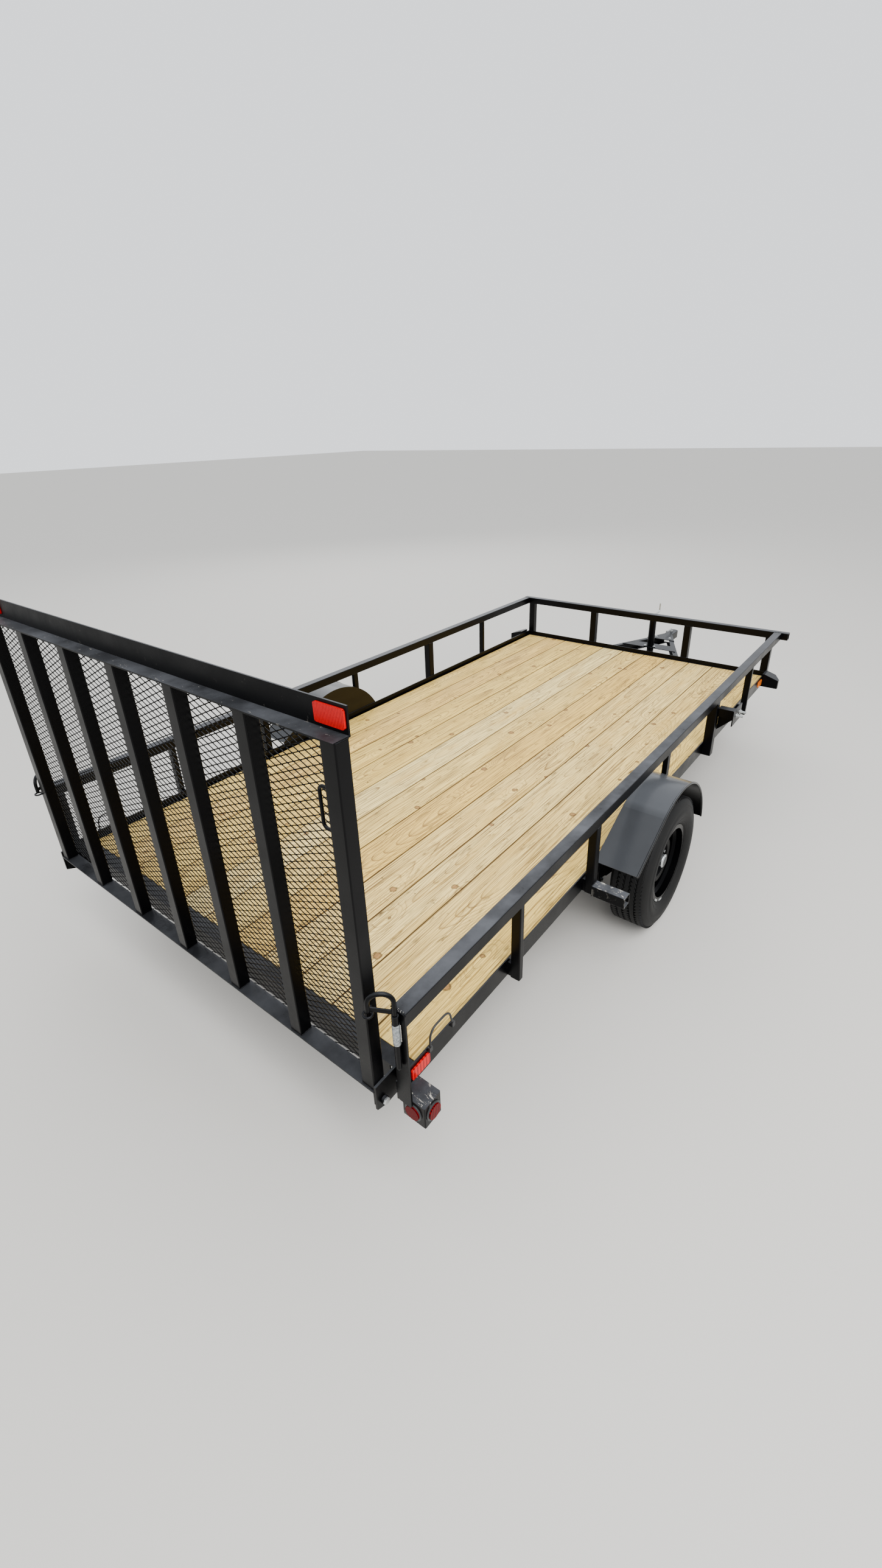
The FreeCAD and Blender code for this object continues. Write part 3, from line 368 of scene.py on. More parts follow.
def scattered(name, template, spots, finish, body, slot):
    """The template at each (place, way): its own Z axis points along way."""
    points = bpy.data.meshes.new(name + "_points")
    points.from_pydata([tuple(place) for place, way in spots], [], [])
    turns = points.attributes.new("turn", "FLOAT_VECTOR", "POINT")
    for i, (place, way) in enumerate(spots):
        turns.data[i].vector = Vector(way).to_track_quat("Z", "Y").to_euler()
    piece = grown(name, SCATTER_TREE, {"Template": template, "Finish": finish}, points)
    piece.data.shade_smooth()
    piece.data.set_sharp_from_angle(angle=math.radians(SHARP_ANGLE))
    return show(piece, None, body, slot)


def welded(name, seams, finish, body, slot, radius=2.6 * MM):
    """Weld beads along straight seams, given as pairs of points."""
    mesh = bpy.data.meshes.new(name + "_seams")
    points = [tuple(p) for seam in seams for p in seam]
    mesh.from_pydata(points, [(i, i + 1) for i in range(0, len(points), 2)], [])
    piece = grown(name, BEAD_TREE, {"Pitch": 1.3 * radius, "Radius": radius, "Finish": finish}, mesh)
    piece.data.shade_smooth()
    return show(piece, None, body, slot)


# Materials

def painted_steel(name, paint="#050506", gloss=0.27, dust_and_sheen=0.10, scuffs=0.0, film="#8f9299", shine=0.10, coat=0.0,
                  patchy=1.0, tilt=(0.5, 1.0)):
    """Black powder coat on steel: satin, a slight orange peel, a pale film on what faces up, bare scuffs. The film is
    partly dust and partly painted sheen, a lighter top standing in for the sky reflected there.

    patchy 1 lets the film lie in clouds, 0 spreads it evenly; between the two upward shares of the normal in tilt
    it grows from none to full."""
    material, tree, shader, where = blank_material(name)
    cloud = add(tree, NOISE, {"Scale": 6.0, "Detail": 6.0, "Roughness": 0.6}, {"Vector": where})
    peel = add(tree, NOISE, {"Scale": 190.0, "Detail": 2.0}, {"Vector": where})
    facing = add(tree, "ShaderNodeSeparateXYZ", links={0: where.node.outputs["Normal"]})
    # painted sheen and dust: faces that look up get the pale film, partly dust and partly a lighter top standing in for
    # the sky reflected there
    upward = add(tree, RANGE, {"From Min": tilt[0], "From Max": tilt[1], "To Max": dust_and_sheen},
                 {"Value": facing.outputs["Z"]})
    patchiness = add(tree, RANGE, {"From Min": 0.35, "From Max": 0.7, "To Min": 1.0 - 0.65 * patchy,
                                "To Max": 1.0 + 0.3 * patchy}, {"Value": cloud})
    dust_and_sheen_share = add(tree, MATH, links={0: upward, 1: patchiness}, operation="MULTIPLY", use_clamp=True)
    dust_and_sheen_tinted = add(tree, MIX, {"A": linear(paint), "B": linear(film)}, {"Factor": dust_and_sheen_share}, data_type="RGBA")
    rough = add(tree, RANGE, {"From Min": 0.3, "From Max": 0.7, "To Min": gloss - 0.06 * patchy,
                              "To Max": gloss + 0.12 * patchy}, {"Value": cloud})
    colour = dust_and_sheen_tinted
    if scuffs:
        stretched = add(tree, MAPPING, {"Scale": (60.0, 24.0, 24.0)}, {"Vector": where})
        scratch = add(tree, NOISE, {"Scale": 1.0, "Detail": 9.0, "Roughness": 0.75, "Distortion": 0.6},
                      {"Vector": stretched})
        bare = add(tree, RANGE, {"From Min": 0.66 - 0.2 * scuffs, "From Max": 0.72 - 0.2 * scuffs},
                   {"Value": scratch})
        top_only = add(tree, RANGE, {"From Min": 0.2, "From Max": 0.9, "To Min": 0.12}, {"Value": facing.outputs["Z"]})
        worn = add(tree, MATH, links={0: bare, 1: top_only}, operation="MULTIPLY", use_clamp=True)
        colour = add(tree, MIX, {"B": linear("#b9b4aa")}, {"Factor": worn, "A": dust_and_sheen_tinted.outputs[2]}, data_type="RGBA")
    bump = add(tree, BUMP, {"Strength": 0.25, "Distance": 0.0004}, {"Height": peel})
    wire(shader, colour.outputs[2], rough.outputs[0], bump.outputs[0])
    shader.inputs["Specular IOR Level"].default_value = shine
    shader.inputs["Coat Weight"].default_value = coat
    shader.inputs["Coat Roughness"].default_value = 0.16
    return material


def fresh_pine():
    """Planed pine boards: pale sapwood, darker late-wood bands that run in long arches, knots with swirled grain."""
    material, tree, shader, where = blank_material("fresh_sawn_pine")
    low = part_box("deck_boards")[0]
    at = add(tree, "ShaderNodeSeparateXYZ", links={0: where})
    from_edge = add(tree, MATH, {1: low.y - PLANK_GAP / 2}, {0: at.outputs["Y"]}, operation="SUBTRACT")
    counted = add(tree, MATH, {1: PLANK_PITCH}, {0: from_edge}, operation="DIVIDE")
    board = add(tree, MATH, links={0: counted}, operation="FLOOR")
    chance = add(tree, "ShaderNodeTexWhiteNoise", links={"W": board}, noise_dimensions="1D")
    chances = add(tree, CHANNELS, links={"Color": chance.outputs["Color"]})
    # each board is cut elsewhere from the log: its length starts at another place
    far = add(tree, MATH, {1: 53.0}, {0: chance.outputs["Value"]}, operation="MULTIPLY")
    along = add(tree, MATH, links={0: at.outputs["X"], 1: far}, operation="ADD")
    inside = add(tree, MATH, links={0: counted}, operation="FRACT")
    across = add(tree, MATH, {1: PLANK_PITCH}, {0: inside}, operation="MULTIPLY")
    spot = add(tree, COMBINE, links={"X": along, "Y": across, "Z": at.outputs["Z"]})
    # knots, about three to a metre of board
    knots = add(tree, "ShaderNodeTexVoronoi", {"Scale": KNOT_SCALE, "Randomness": 0.9}, {"Vector": spot},
                voronoi_dimensions="2D")
    knot_chance = add(tree, CHANNELS, links={"Color": knots.outputs["Color"]})
    offset = add(tree, VECTOR_MATH, links={0: spot, 1: knots.outputs["Position"]}, operation="SUBTRACT")
    flat_offset = add(tree, VECTOR_MATH, {1: (1.0, 1.0, 0.0)}, {0: offset}, operation="MULTIPLY")
    wobble = add(tree, NOISE, {"Scale": 90.0, "Detail": 3.0}, {"Vector": spot})
    knot_far = add(tree, VECTOR_MATH, links={0: flat_offset}, operation="LENGTH")
    knot_rough = add(tree, MATH, {1: 0.018, 2: -0.009}, {0: wobble}, operation="MULTIPLY_ADD")
    knot_edge = add(tree, MATH, links={0: knot_far.outputs["Value"], 1: knot_rough}, operation="ADD")
    knot_size = add(tree, RANGE, {"From Min": 0.38, "From Max": 1.0, "To Min": -0.003, "To Max": 0.017},
                    {"Value": knot_chance.outputs[0]})
    past_knot = add(tree, MATH, links={0: knot_edge, 1: knot_size}, operation="SUBTRACT")
    has_knot = add(tree, RANGE, {"From Max": 0.003}, {"Value": knot_size})
    long_offset = add(tree, VECTOR_MATH, {1: (0.33, 1.0, 0.0)}, {0: offset}, operation="MULTIPLY")
    long_far = add(tree, VECTOR_MATH, links={0: long_offset}, operation="LENGTH")
    swell = add(tree, RANGE, {"From Min": 0.006, "From Max": 0.05, "To Min": 0.022, "To Max": 0.0},
                {"Value": long_far.outputs["Value"]}, interpolation_type="SMOOTHERSTEP")
    swirl = add(tree, MATH, links={0: swell, 1: has_knot}, operation="MULTIPLY")
    # growth rings: distance from the log's heart, which wanders along the board
    slow = add(tree, COMBINE, links={"X": along, "Y": far})
    wander = add(tree, NOISE, {"Scale": 0.45, "Detail": 2.0, "Roughness": 0.45}, {"Vector": slow},
                 noise_dimensions="2D")
    wanders = add(tree, CHANNELS, links={"Color": wander.outputs["Color"]})
    heart_y = add(tree, RANGE, {"To Min": -0.06, "To Max": 0.24}, {"Value": wanders.outputs[0]})
    heart_z = add(tree, RANGE, {"From Min": 0.25, "From Max": 0.75, "To Min": 0.015, "To Max": 0.16},
                  {"Value": wanders.outputs[1]})
    off_y = add(tree, MATH, links={0: across, 1: heart_y}, operation="SUBTRACT")
    heart = add(tree, COMBINE, links={"X": off_y, "Y": heart_z})
    radius = add(tree, VECTOR_MATH, links={0: heart}, operation="LENGTH")
    drawn = add(tree, MAPPING, {"Scale": (0.5, 10.0, 10.0)}, {"Vector": spot})
    waver = add(tree, NOISE, {"Scale": 1.0, "Detail": 4.0, "Roughness": 0.55}, {"Vector": drawn})
    waved = add(tree, MATH, {1: 0.0045}, {0: waver, 2: radius.outputs["Value"]}, operation="MULTIPLY_ADD")
    ringed = add(tree, MATH, links={0: waved, 1: swirl}, operation="ADD")
    spacing = add(tree, MATH, {1: 130.0}, {0: ringed}, operation="MULTIPLY")
    phase = add(tree, MATH, links={0: spacing}, operation="FRACT")
    late_wood = add(tree, "ShaderNodeValToRGB", links={"Fac": phase},
                    stops=[(0.0, "#000000"), (0.45, "#101010"), (0.80, "#8a8a8a"), (0.93, "#ffffff"), (1.0, "#000000")])
    # bands fade in and out, as they do where the plane runs along the grain
    fade = add(tree, NOISE, {"Scale": 1.6, "Detail": 3.0}, {"Vector": slow})
    strength = add(tree, RANGE, {"From Min": 0.35, "From Max": 0.65, "To Min": 0.35, "To Max": 0.9}, {"Value": fade})
    bands = add(tree, MATH, links={0: late_wood.outputs["Color"], 1: strength}, operation="MULTIPLY")
    tint = add(tree, "ShaderNodeValToRGB", links={"Fac": chances.outputs[1]},
               stops=[(0.0, "#f9d880"), (0.25, "#f2cd6c"), (0.5, "#fbe094"), (0.75, "#eec464"), (1.0, "#f6d384")])
    banded = add(tree, MIX, {"B": linear("#74501f")}, {"Factor": bands, "A": tint.outputs["Color"]}, data_type="RGBA")
    # fine fibre streaks and flecks
    fibre_map = add(tree, MAPPING, {"Scale": (2.2, 210.0, 210.0)}, {"Vector": spot})
    fibre = add(tree, NOISE, {"Scale": 1.0, "Detail": 5.0, "Roughness": 0.65}, {"Vector": fibre_map})
    streak = add(tree, RANGE, {"From Min": 0.47, "From Max": 0.62, "To Max": 0.9}, {"Value": fibre})
    streaked = add(tree, MIX, {"B": linear("#6a4a20")}, {"Factor": streak, "A": banded.outputs[2]}, data_type="RGBA")
    # dark flame marks where the saw met a branch's bulge: short, slanting, with soft ends
    flame_map = add(tree, MAPPING, {"Scale": (7.0, 46.0, 46.0), "Rotation": (0.0, 0.0, 0.3)}, {"Vector": spot})
    flame = add(tree, NOISE, {"Scale": 1.0, "Detail": 8.0, "Roughness": 0.72, "Distortion": 0.5},
                {"Vector": flame_map})
    flame_here = add(tree, RANGE, {"From Min": 0.55, "From Max": 0.68, "To Max": 0.9}, {"Value": flame})
    flamed = add(tree, MIX, {"B": linear("#5a4220")}, {"Factor": flame_here, "A": streaked.outputs[2]},
                 data_type="RGBA")
    # long warm patches
    patch_map = add(tree, MAPPING, {"Scale": (2.0, 11.0, 11.0)}, {"Vector": spot})
    patch = add(tree, NOISE, {"Scale": 1.0, "Detail": 5.0, "Roughness": 0.6}, {"Vector": patch_map})
    warm = add(tree, RANGE, {"From Min": 0.50, "From Max": 0.72, "To Max": 0.6}, {"Value": patch})
    warmed = add(tree, MIX, {"B": linear("#cda650")}, {"Factor": warm, "A": flamed.outputs[2]}, data_type="RGBA")
    # knot: dark bark ring round a brown heart
    ring = add(tree, RANGE, {"From Min": 0.0045, "From Max": 0.0, "To Max": 0.85}, {"Value": past_knot})
    ring_here = add(tree, MATH, links={0: ring, 1: has_knot}, operation="MULTIPLY")
    core = add(tree, RANGE, {"From Min": -0.002, "From Max": -0.006}, {"Value": past_knot})
    knot_colour = add(tree, MIX, {"A": linear("#553a1c"), "B": linear("#94693a")}, {"Factor": core}, data_type="RGBA")
    knotted = add(tree, MIX, links={"Factor": ring_here, "A": warmed.outputs[2], "B": knot_colour.outputs[2]},
                  data_type="RGBA")
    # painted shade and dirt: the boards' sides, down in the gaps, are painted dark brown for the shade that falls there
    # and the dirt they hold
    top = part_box("deck_boards")[1].z
    depth = add(tree, RANGE, {"From Min": top - 1.6 * MM, "From Max": top - 4.5 * MM, "To Max": 0.92},
                {"Value": at.outputs["Z"]})
    shaded = add(tree, MIX, {"B": linear("#2e1f10")}, {"Factor": depth, "A": knotted.outputs[2]}, data_type="RGBA")
    # painted shade: a dark brown line along each board's eased top edges, beside the gaps
    other_side = add(tree, MATH, {0: PLANK_PITCH}, {1: across}, operation="SUBTRACT")
    to_seam = add(tree, MATH, links={0: across, 1: other_side}, operation="MINIMUM")
    seam = add(tree, RANGE, {"From Min": 5.2 * MM, "From Max": 2.4 * MM, "To Max": 0.85}, {"Value": to_seam})
    edge_shaded = add(tree, MIX, {"B": linear("#4a3016")}, {"Factor": seam, "A": shaded.outputs[2]}, data_type="RGBA")
    relief = add(tree, MATH, {1: -0.6}, {0: bands, 2: fibre}, operation="MULTIPLY_ADD")
    bump = add(tree, BUMP, {"Strength": 0.35, "Distance": 0.0006}, {"Height": relief})
    rough = add(tree, RANGE, {"To Min": 0.62, "To Max": 0.5}, {"Value": bands})
    wire(shader, edge_shaded.outputs[2], rough.outputs[0], bump.outputs[0])
    shader.inputs["Specular IOR Level"].default_value = 0.18
    return material


def tyre_rubber():
    """Carbon-black rubber: matt, slightly bloomed, with grey-brown dust rubbed into it."""
    material, tree, shader, where = blank_material("tyre_rubber")
    grain = add(tree, NOISE, {"Scale": 420.0, "Detail": 3.0}, {"Vector": where})
    cloud = add(tree, NOISE, {"Scale": 9.0, "Detail": 7.0, "Roughness": 0.65}, {"Vector": where})
    colour = add(tree, "ShaderNodeValToRGB", links={"Fac": cloud},
                 stops=[(0.3, "#060606"), (0.55, "#0a0a0a"), (0.75, "#151312")])
    rough = add(tree, RANGE, {"To Min": 0.58, "To Max": 0.8}, {"Value": cloud})
    shader.inputs["Specular IOR Level"].default_value = 0.22
    bump = add(tree, BUMP, {"Strength": 0.3, "Distance": 0.0003}, {"Height": grain})
    wire(shader, colour.outputs[0], rough.outputs[0], bump.outputs[0])
    return material


def bright_metal(name, base="#c3c6c8", dark="#8f9396", roughness=0.3, cell=0.0, grime=0.25):
    """Bare or plated steel: cell gives the size of a galvanised spangle, 0 leaves it out."""
    material, tree, shader, where = blank_material(name)
    if cell:
        spangle = add(tree, "ShaderNodeTexVoronoi", {"Scale": 1.0 / cell}, {"Vector": where})
        pattern = add(tree, CHANNELS, links={"Color": spangle.outputs["Color"]})
    else:
        pattern = add(tree, NOISE, {"Scale": 60.0, "Detail": 6.0, "Roughness": 0.7}, {"Vector": where})
    colour = add(tree, MIX, {"A": linear(dark), "B": linear(base)}, {"Factor": pattern}, data_type="RGBA")
    stain = add(tree, NOISE, {"Scale": 35.0, "Detail": 6.0, "Roughness": 0.7}, {"Vector": where})
    stained = add(tree, RANGE, {"From Min": 0.55, "From Max": 0.75, "To Max": grime}, {"Value": stain})
    dirty = add(tree, MIX, {"B": linear("#4b463f")}, {"Factor": stained, "A": colour.outputs[2]}, data_type="RGBA")
    rough = add(tree, RANGE, {"To Min": roughness, "To Max": roughness + 0.25}, {"Value": stain})
    bump = add(tree, BUMP, {"Strength": 0.15, "Distance": 0.0002}, {"Height": pattern})
    shader.inputs["Metallic"].default_value = 0.95
    wire(shader, dirty.outputs[2], rough.outputs[0], bump.outputs[0])
    return material


def prism_lens(name, colour, deep, rib=3.6 * MM, axis="X", shine=0.12):
    """Moulded acrylic reflector: smooth face over rows of prisms that show as fine ribs."""
    material, tree, shader, where = blank_material(name)
    rows = add(tree, "ShaderNodeTexWave", {"Scale": 1.0 / (rib * 20.0) * math.pi},
               {"Vector": where}, bands_direction=axis, wave_profile="SIN")
    cells = add(tree, "ShaderNodeTexVoronoi", {"Scale": 420.0}, {"Vector": where})
    cell_tone = add(tree, CHANNELS, links={"Color": cells.outputs["Color"]})
    mixed = add(tree, MATH, {1: 0.35}, {0: cell_tone, 2: rows.outputs["Fac"]}, operation="MULTIPLY_ADD")
    tone = add(tree, RANGE, {"From Min": 0.15, "From Max": 1.1}, {"Value": mixed})
    tinted = add(tree, MIX, {"A": linear(deep), "B": linear(colour)}, {"Factor": tone}, data_type="RGBA")
    bump = add(tree, BUMP, {"Strength": 0.4, "Distance": 0.0006}, {"Height": rows.outputs["Fac"]})
    wire(shader, tinted.outputs[2], bump=bump.outputs[0])
    shader.inputs["Roughness"].default_value = 0.22
    shader.inputs["Specular IOR Level"].default_value = shine
    return material


def moulded_rubber(name, colour="#101010"):
    """Black moulded rubber or wire insulation: even, soft sheen."""
    material, tree, shader, where = blank_material(name)
    grain = add(tree, NOISE, {"Scale": 300.0, "Detail": 3.0}, {"Vector": where})
    shade = add(tree, MIX, {"A": linear(colour), "B": linear("#232323")}, {"Factor": grain}, data_type="RGBA")
    rough = add(tree, RANGE, {"To Min": 0.4, "To Max": 0.6}, {"Value": grain})
    wire(shader, shade.outputs[2], rough.outputs[0])
    return material


# the pale film on up-facing faces set below is partly dust and partly painted sheen, standing in for the sky reflected
# on tops
FRAME_PAINT = painted_steel("satin_powder_coat", paint="#030304", dust_and_sheen=0.09)
RAIL_PAINT = painted_steel("rail_powder_coat", paint="#030304", gloss=0.30, dust_and_sheen=0.2)
MESH_PAINT = painted_steel("screen_powder_coat", gloss=0.36, dust_and_sheen=0.05)
GATE_PAINT = painted_steel("rubbed_powder_coat", paint="#030304", gloss=0.42, dust_and_sheen=0.16, scuffs=0.16)
# on the fender the pale film on its upper face is mostly a painted highlight, the sky's broad reflection laid on as
# colour, with some dust
FENDER_PAINT_WITH_SHEEN = painted_steel("fender_powder_coat_painted_sheen", paint="#030304", gloss=0.22, dust_and_sheen=0.25, film="#82868c", shine=0.2,
                             coat=0.08, patchy=0.15, tilt=(0.82, 0.92))
WORN_PAINT = painted_steel("scuffed_powder_coat", dust_and_sheen=0.25, scuffs=0.55)
BOX_PAINT = painted_steel("chipped_powder_coat", dust_and_sheen=0.2, scuffs=0.36)
RIM_PAINT = painted_steel("rim_gloss_enamel", paint="#030304", gloss=0.2, dust_and_sheen=0.0, shine=0.04)
PINE = fresh_pine()
RUBBER = tyre_rubber()
GALVANISED = bright_metal("galvanised_steel", "#b3b7b9", "#7f8486", 0.38, cell=5.0 * MM)
ZINC = bright_metal("zinc_plated_steel", "#cfd1d0", "#a2a5a4", 0.26)
HUB_STEEL = bright_metal("hub_cap_steel", "#d8dadb", "#b4b7b9", 0.2, grime=0.12)
RED_LENS = prism_lens("red_acrylic", "#d4000c", "#8c0006", rib=7.0 * MM)
RED_GATE_LENS = prism_lens("red_acrylic_gate", "#c4000c", "#840006", rib=2.4 * MM, axis="Y")
LAMP_LENS = prism_lens("smoked_red_acrylic", "#6a0006", "#2c0003", shine=0.04)
SCREW_STEEL = bright_metal("dark_phosphated_screw", "#4a4238", "#2e2820", 0.45)
FRESH_WELD = bright_metal("bare_weld_metal", "#c9c6bf", "#8a867e", 0.35, grime=0.5)
AMBER_LENS = prism_lens("amber_acrylic", "#f07a1c", "#b04a08")
GROMMET = moulded_rubber("grommet_rubber", "#3a3b3c")
WIRE = moulded_rubber("wire_insulation", "#0c0c0c")

FINISHES = (
    (FRAME_PAINT, "frame_side_left frame_side_right frame_front frame_rear crossmembers tongue coupler jack_tube axle"
                  " springs spring_hangers hinge_ears latches marker_guards spare_carrier gate_bottom gate_handle"
                  " latch_keepers"),
    (RAIL_PAINT, "rail_left rail_right rail_front rail_posts rail_posts_front gate_posts"),
    (FENDER_PAINT_WITH_SHEEN, "fender_left fender_right"), (WORN_PAINT, "fender_steps"), (BOX_PAINT, "lamp_boxes"),
    (GATE_PAINT, "gate_top"), (MESH_PAINT, "gate_mesh"), (RIM_PAINT, "rim_left rim_right"),
    (ZINC, "coupler_lever jack_crank"), (GALVANISED, "jack_leg"), (HUB_STEEL, "hub_left hub_right"),
    (RUBBER, "tyre_left tyre_right"), (GROMMET, "lamp_grommets"), (WIRE, "wire_loops"), (PINE, "deck_boards"),
    (LAMP_LENS, "lamp_lenses"), (RED_LENS, "side_reflectors"), (RED_GATE_LENS, "gate_reflectors"),
    (AMBER_LENS, "amber_reflectors"),
)
for finish, node_names in FINISHES:
    for node_name in node_names.split():
        nodes[node_name].data.materials.clear()
        nodes[node_name].data.materials.append(finish)


# Deck

def make_planks():
    """Eleven boards with eased edges; the planer left each a little different in height and end."""
    low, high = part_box("deck_boards")
    draw = random.Random(4)
    bm = bmesh.new()
    for i in range(PLANK_COUNT):
        y0 = low.y + i * PLANK_PITCH
        y1 = y0 + PLANK_PITCH - PLANK_GAP
        x0 = low.x + draw.uniform(0.0, 3.0) * MM
        top = high.z - draw.uniform(0.0, 0.5) * MM
        ease = PLANK_EASE
        outline = [(y0, low.z), (y1, low.z), (y1, top - ease), (y1 - 0.3 * ease, top - 0.3 * ease), (y1 - ease, top),
                   (y0 + ease, top), (y0 + 0.3 * ease, top - 0.3 * ease), (y0, top - ease)]
        ends = [[bm.verts.new((x, y, z)) for y, z in outline] for x in (x0, high.x)]
        skin(bm, ends)
        bm.faces.new(ends[0])
        bm.faces.new(ends[1][::-1])
    return show(piece_from(bm, "deck_planks"), PINE, "chassis", "pine", "deck_boards")


def make_gate_screen():
    """Raised expanded metal on the gate's front face, in place of the plain sheet."""
    low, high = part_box("gate_mesh")
    columns = int((high.y - low.y) / MESH_LONG)
    rows = int((high.z - low.z) / MESH_SHORT)
    middle = Vector(((low.x + high.x) / 2, (low.y + high.y - MESH_LONG / 2) / 2, (low.z + high.z) / 2))
    piece = grown("gate_screen", SHEET_TREE, {
        "Columns": columns, "Rows": rows, "Long way": MESH_LONG, "Short way": MESH_SHORT,
        "Strand width": MESH_STRAND, "Strand thickness": MESH_THICK, "Bond length": MESH_BOND,
        "Lean": MESH_LEAN, "Place": middle, "Finish": MESH_PAINT})
    return show(piece, None, "gate", "mesh_paint", "gate_mesh")


# Wheels

def tyre_outline(half_width, radius):
    """Cross-section from the left bead over the tread base to the right bead, and back inside."""
    base = radius - TREAD_DEPTH
    side = [(r * MM, half_width - inset * MM) for r, inset in TYRE_SIDE]
    side += [(base - 3 * MM, half_width - 21 * MM), (base, half_width - 26 * MM)]
    inner = [(base - 9 * MM, half_width - 30 * MM), (300 * MM, half_width - 16 * MM), (256 * MM, half_width - 8 * MM),
             (215 * MM, half_width - 17 * MM), (184 * MM, half_width - 36 * MM)]
    outline = side + [(r, -y) for r, y in reversed(side)]
    return outline + [(r, -y) for r, y in reversed(inner)] + inner


def join(pieces, name):
    """One mesh object from several, keeping their smooth and sharp edges."""
    bm = bmesh.new()
    for piece in pieces:
        bm.from_mesh(piece.data)
    mesh = bpy.data.meshes.new(name)
    bm.to_mesh(mesh)
    bm.free()
    for piece in pieces:
        bpy.data.objects.remove(piece)
    return new_object(name, mesh)


def tread_block(width, length, skew):
    """A chamfered rubber block, its outer face at Z = 0, its length along the tyre's travel."""
    bm = bmesh.new()
    depth = TREAD_DEPTH + 2 * MM
    rings = []
    for z, inset in ((-depth, 0.0), (-1.2 * MM, 0.0), (0.0, 1.2 * MM)):
        w, l = width / 2 - inset, length / 2 - inset
        rings.append([bm.verts.new((x + skew * y / w, y, z)) for x, y in ((-l, -w), (l, -w), (l, w), (-l, w))])
    skin(bm, rings)
    bm.faces.new(rings[-1])
    return piece_from(bm, "block", 25)


def make_tyre(side):
    """Carcass turned from its outline, with five rows of tread blocks grown round it."""
    low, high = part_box("tyre_" + side)
    centre = (low + high) / 2
    radius = (high.z - low.z) / 2 - TREAD_CLEAR
    half_width = (high.y - low.y) / 2
    bm = bmesh.new()
    turned(bm, tyre_outline(half_width, radius), centre, TYRE_SEGMENTS)
    parts = [piece_from(bm, "tyre_carcass_" + side, 30)]
    pitch = 2 * math.pi * radius / TREAD_PITCHES
    for number, (across, width, phase, skew) in enumerate(TREAD_ROWS):
        block = tread_block(width * MM, pitch - TREAD_GROOVE, skew * MM)
        parts.append(grown(f"tread_{side}_{number}", TREAD_TREE, {
            "Pitches": TREAD_PITCHES, "Radius": radius, "Place": centre, "Finish": RUBBER, "Block": block,
            "Phase": phase * 2 * math.pi / TREAD_PITCHES, "Row at": across * MM}))
        bpy.data.objects.remove(block)
    piece = join(parts, "tyre_tread_" + side)
    return show(piece, RUBBER, "wheel_" + side, "tyre", "tyre_" + side)


# Fasteners, welds and small fittings

TEMPLATES = []


def stacked(name, shells):
    """Template about its own Z axis: each shell has a number of sides and the (radius, height) of its rings in mm."""
    bm = bmesh.new()
    for sides, rings in shells:
        loops = []
        for radius, height in rings:
            loops.append([bm.verts.new((radius * MM * math.cos(2 * math.pi * k / sides),
                                        radius * MM * math.sin(2 * math.pi * k / sides), height * MM))
                          for k in range(sides)])
        skin(bm, loops)
        bm.faces.new(loops[0][::-1])
        bm.faces.new(loops[-1])
    TEMPLATES.append(piece_from(bm, name, 30))
    return TEMPLATES[-1]


def thread(radius, length, pitch):
    """Rings of a screw thread's crests and roots, with a chamfered end."""
    rings = [(radius, 0.0)]
    for k in range(int((length - 2.0) / pitch)):
        rings += [(radius, (k + 0.5) * pitch), (radius - 0.5, (k + 1.0) * pitch)]
    return rings + [(radius - 0.2, length - 1.2), (radius - 1.6, length)]


def make_wheel_fittings(side, way):
    """Cone nuts on the studs, a rubber plug in the bright hub cap, a rolled ring round it, weights on the rim."""
    low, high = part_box("hub_" + side)
    centre = (low + high) / 2
    cap_end = high.y if way > 0 else low.y
    disc_face = cap_end - way * CAP_LENGTH
    out = (0.0, way, 0.0)
    nut = stacked("nut", [(6, [(11.6, 0), (11.6, 14), (9.6, 16)]), (24, [(12.6, -0.5), (12.6, 2.0), (11.8, 3.0)]),
                          (16, thread(6.45, 22.0, 1.5))])
    spots = []
    for k in range(LUG_COUNT):
        turn = 2 * math.pi * k / LUG_COUNT
        spots.append(((centre.x + LUG_CIRCLE * math.sin(turn), disc_face, centre.z + LUG_CIRCLE * math.cos(turn)), out))
    scattered("lug_nuts_" + side, nut, spots, ZINC, "wheel_" + side, "hub_steel")
    ring = stacked("ring", [(48, [(31.2, -9), (33.4, -8), (34.2, -6), (33.4, -4), (31.2, -3)])])
    at_cap = [((centre.x, cap_end, centre.z), out)]
    scattered("hub_ring_" + side, ring, at_cap, HUB_STEEL, "wheel_" + side, "hub_steel")
    plug = stacked("plug", [(32, [(11.4, -4), (11.4, 0.6), (10.4, 1.6), (5.0, 2.2)]),
                            (24, [(24.0, -0.2), (24.0, 0.5), (13.0, 0.9)])])
    scattered("hub_plug_" + side, plug, at_cap, GROMMET, "wheel_" + side, "grommet")
    rim_low, rim_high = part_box("rim_" + side)
    lip = rim_high.y if way > 0 else rim_low.y
    bm = bmesh.new()
    for start in WEIGHTS_START_AT:
        bars = []
        for k in range(WEIGHT_RINGS):
            turn = start + WEIGHT_STEP * k
            ends = 0.5 if k in (0, WEIGHT_RINGS - 1) else 1.0
            section = ((194.6, -3), (194.6, 2.2 * ends), (191.0, 3.4 * ends), (184.0, 1.6 * ends), (184.0, -3))
            bars.append([bm.verts.new((centre.x + r * MM * math.sin(turn), lip + way * y * MM,
                                       centre.z + r * MM * math.cos(turn))) for r, y in section])
        skin(bm, bars)
        bm.faces.new(bars[0])
        bm.faces.new(bars[-1][::-1])
    show(piece_from(bm, "balance_weights_" + side, 30), ZINC, "wheel_" + side, "zinc")


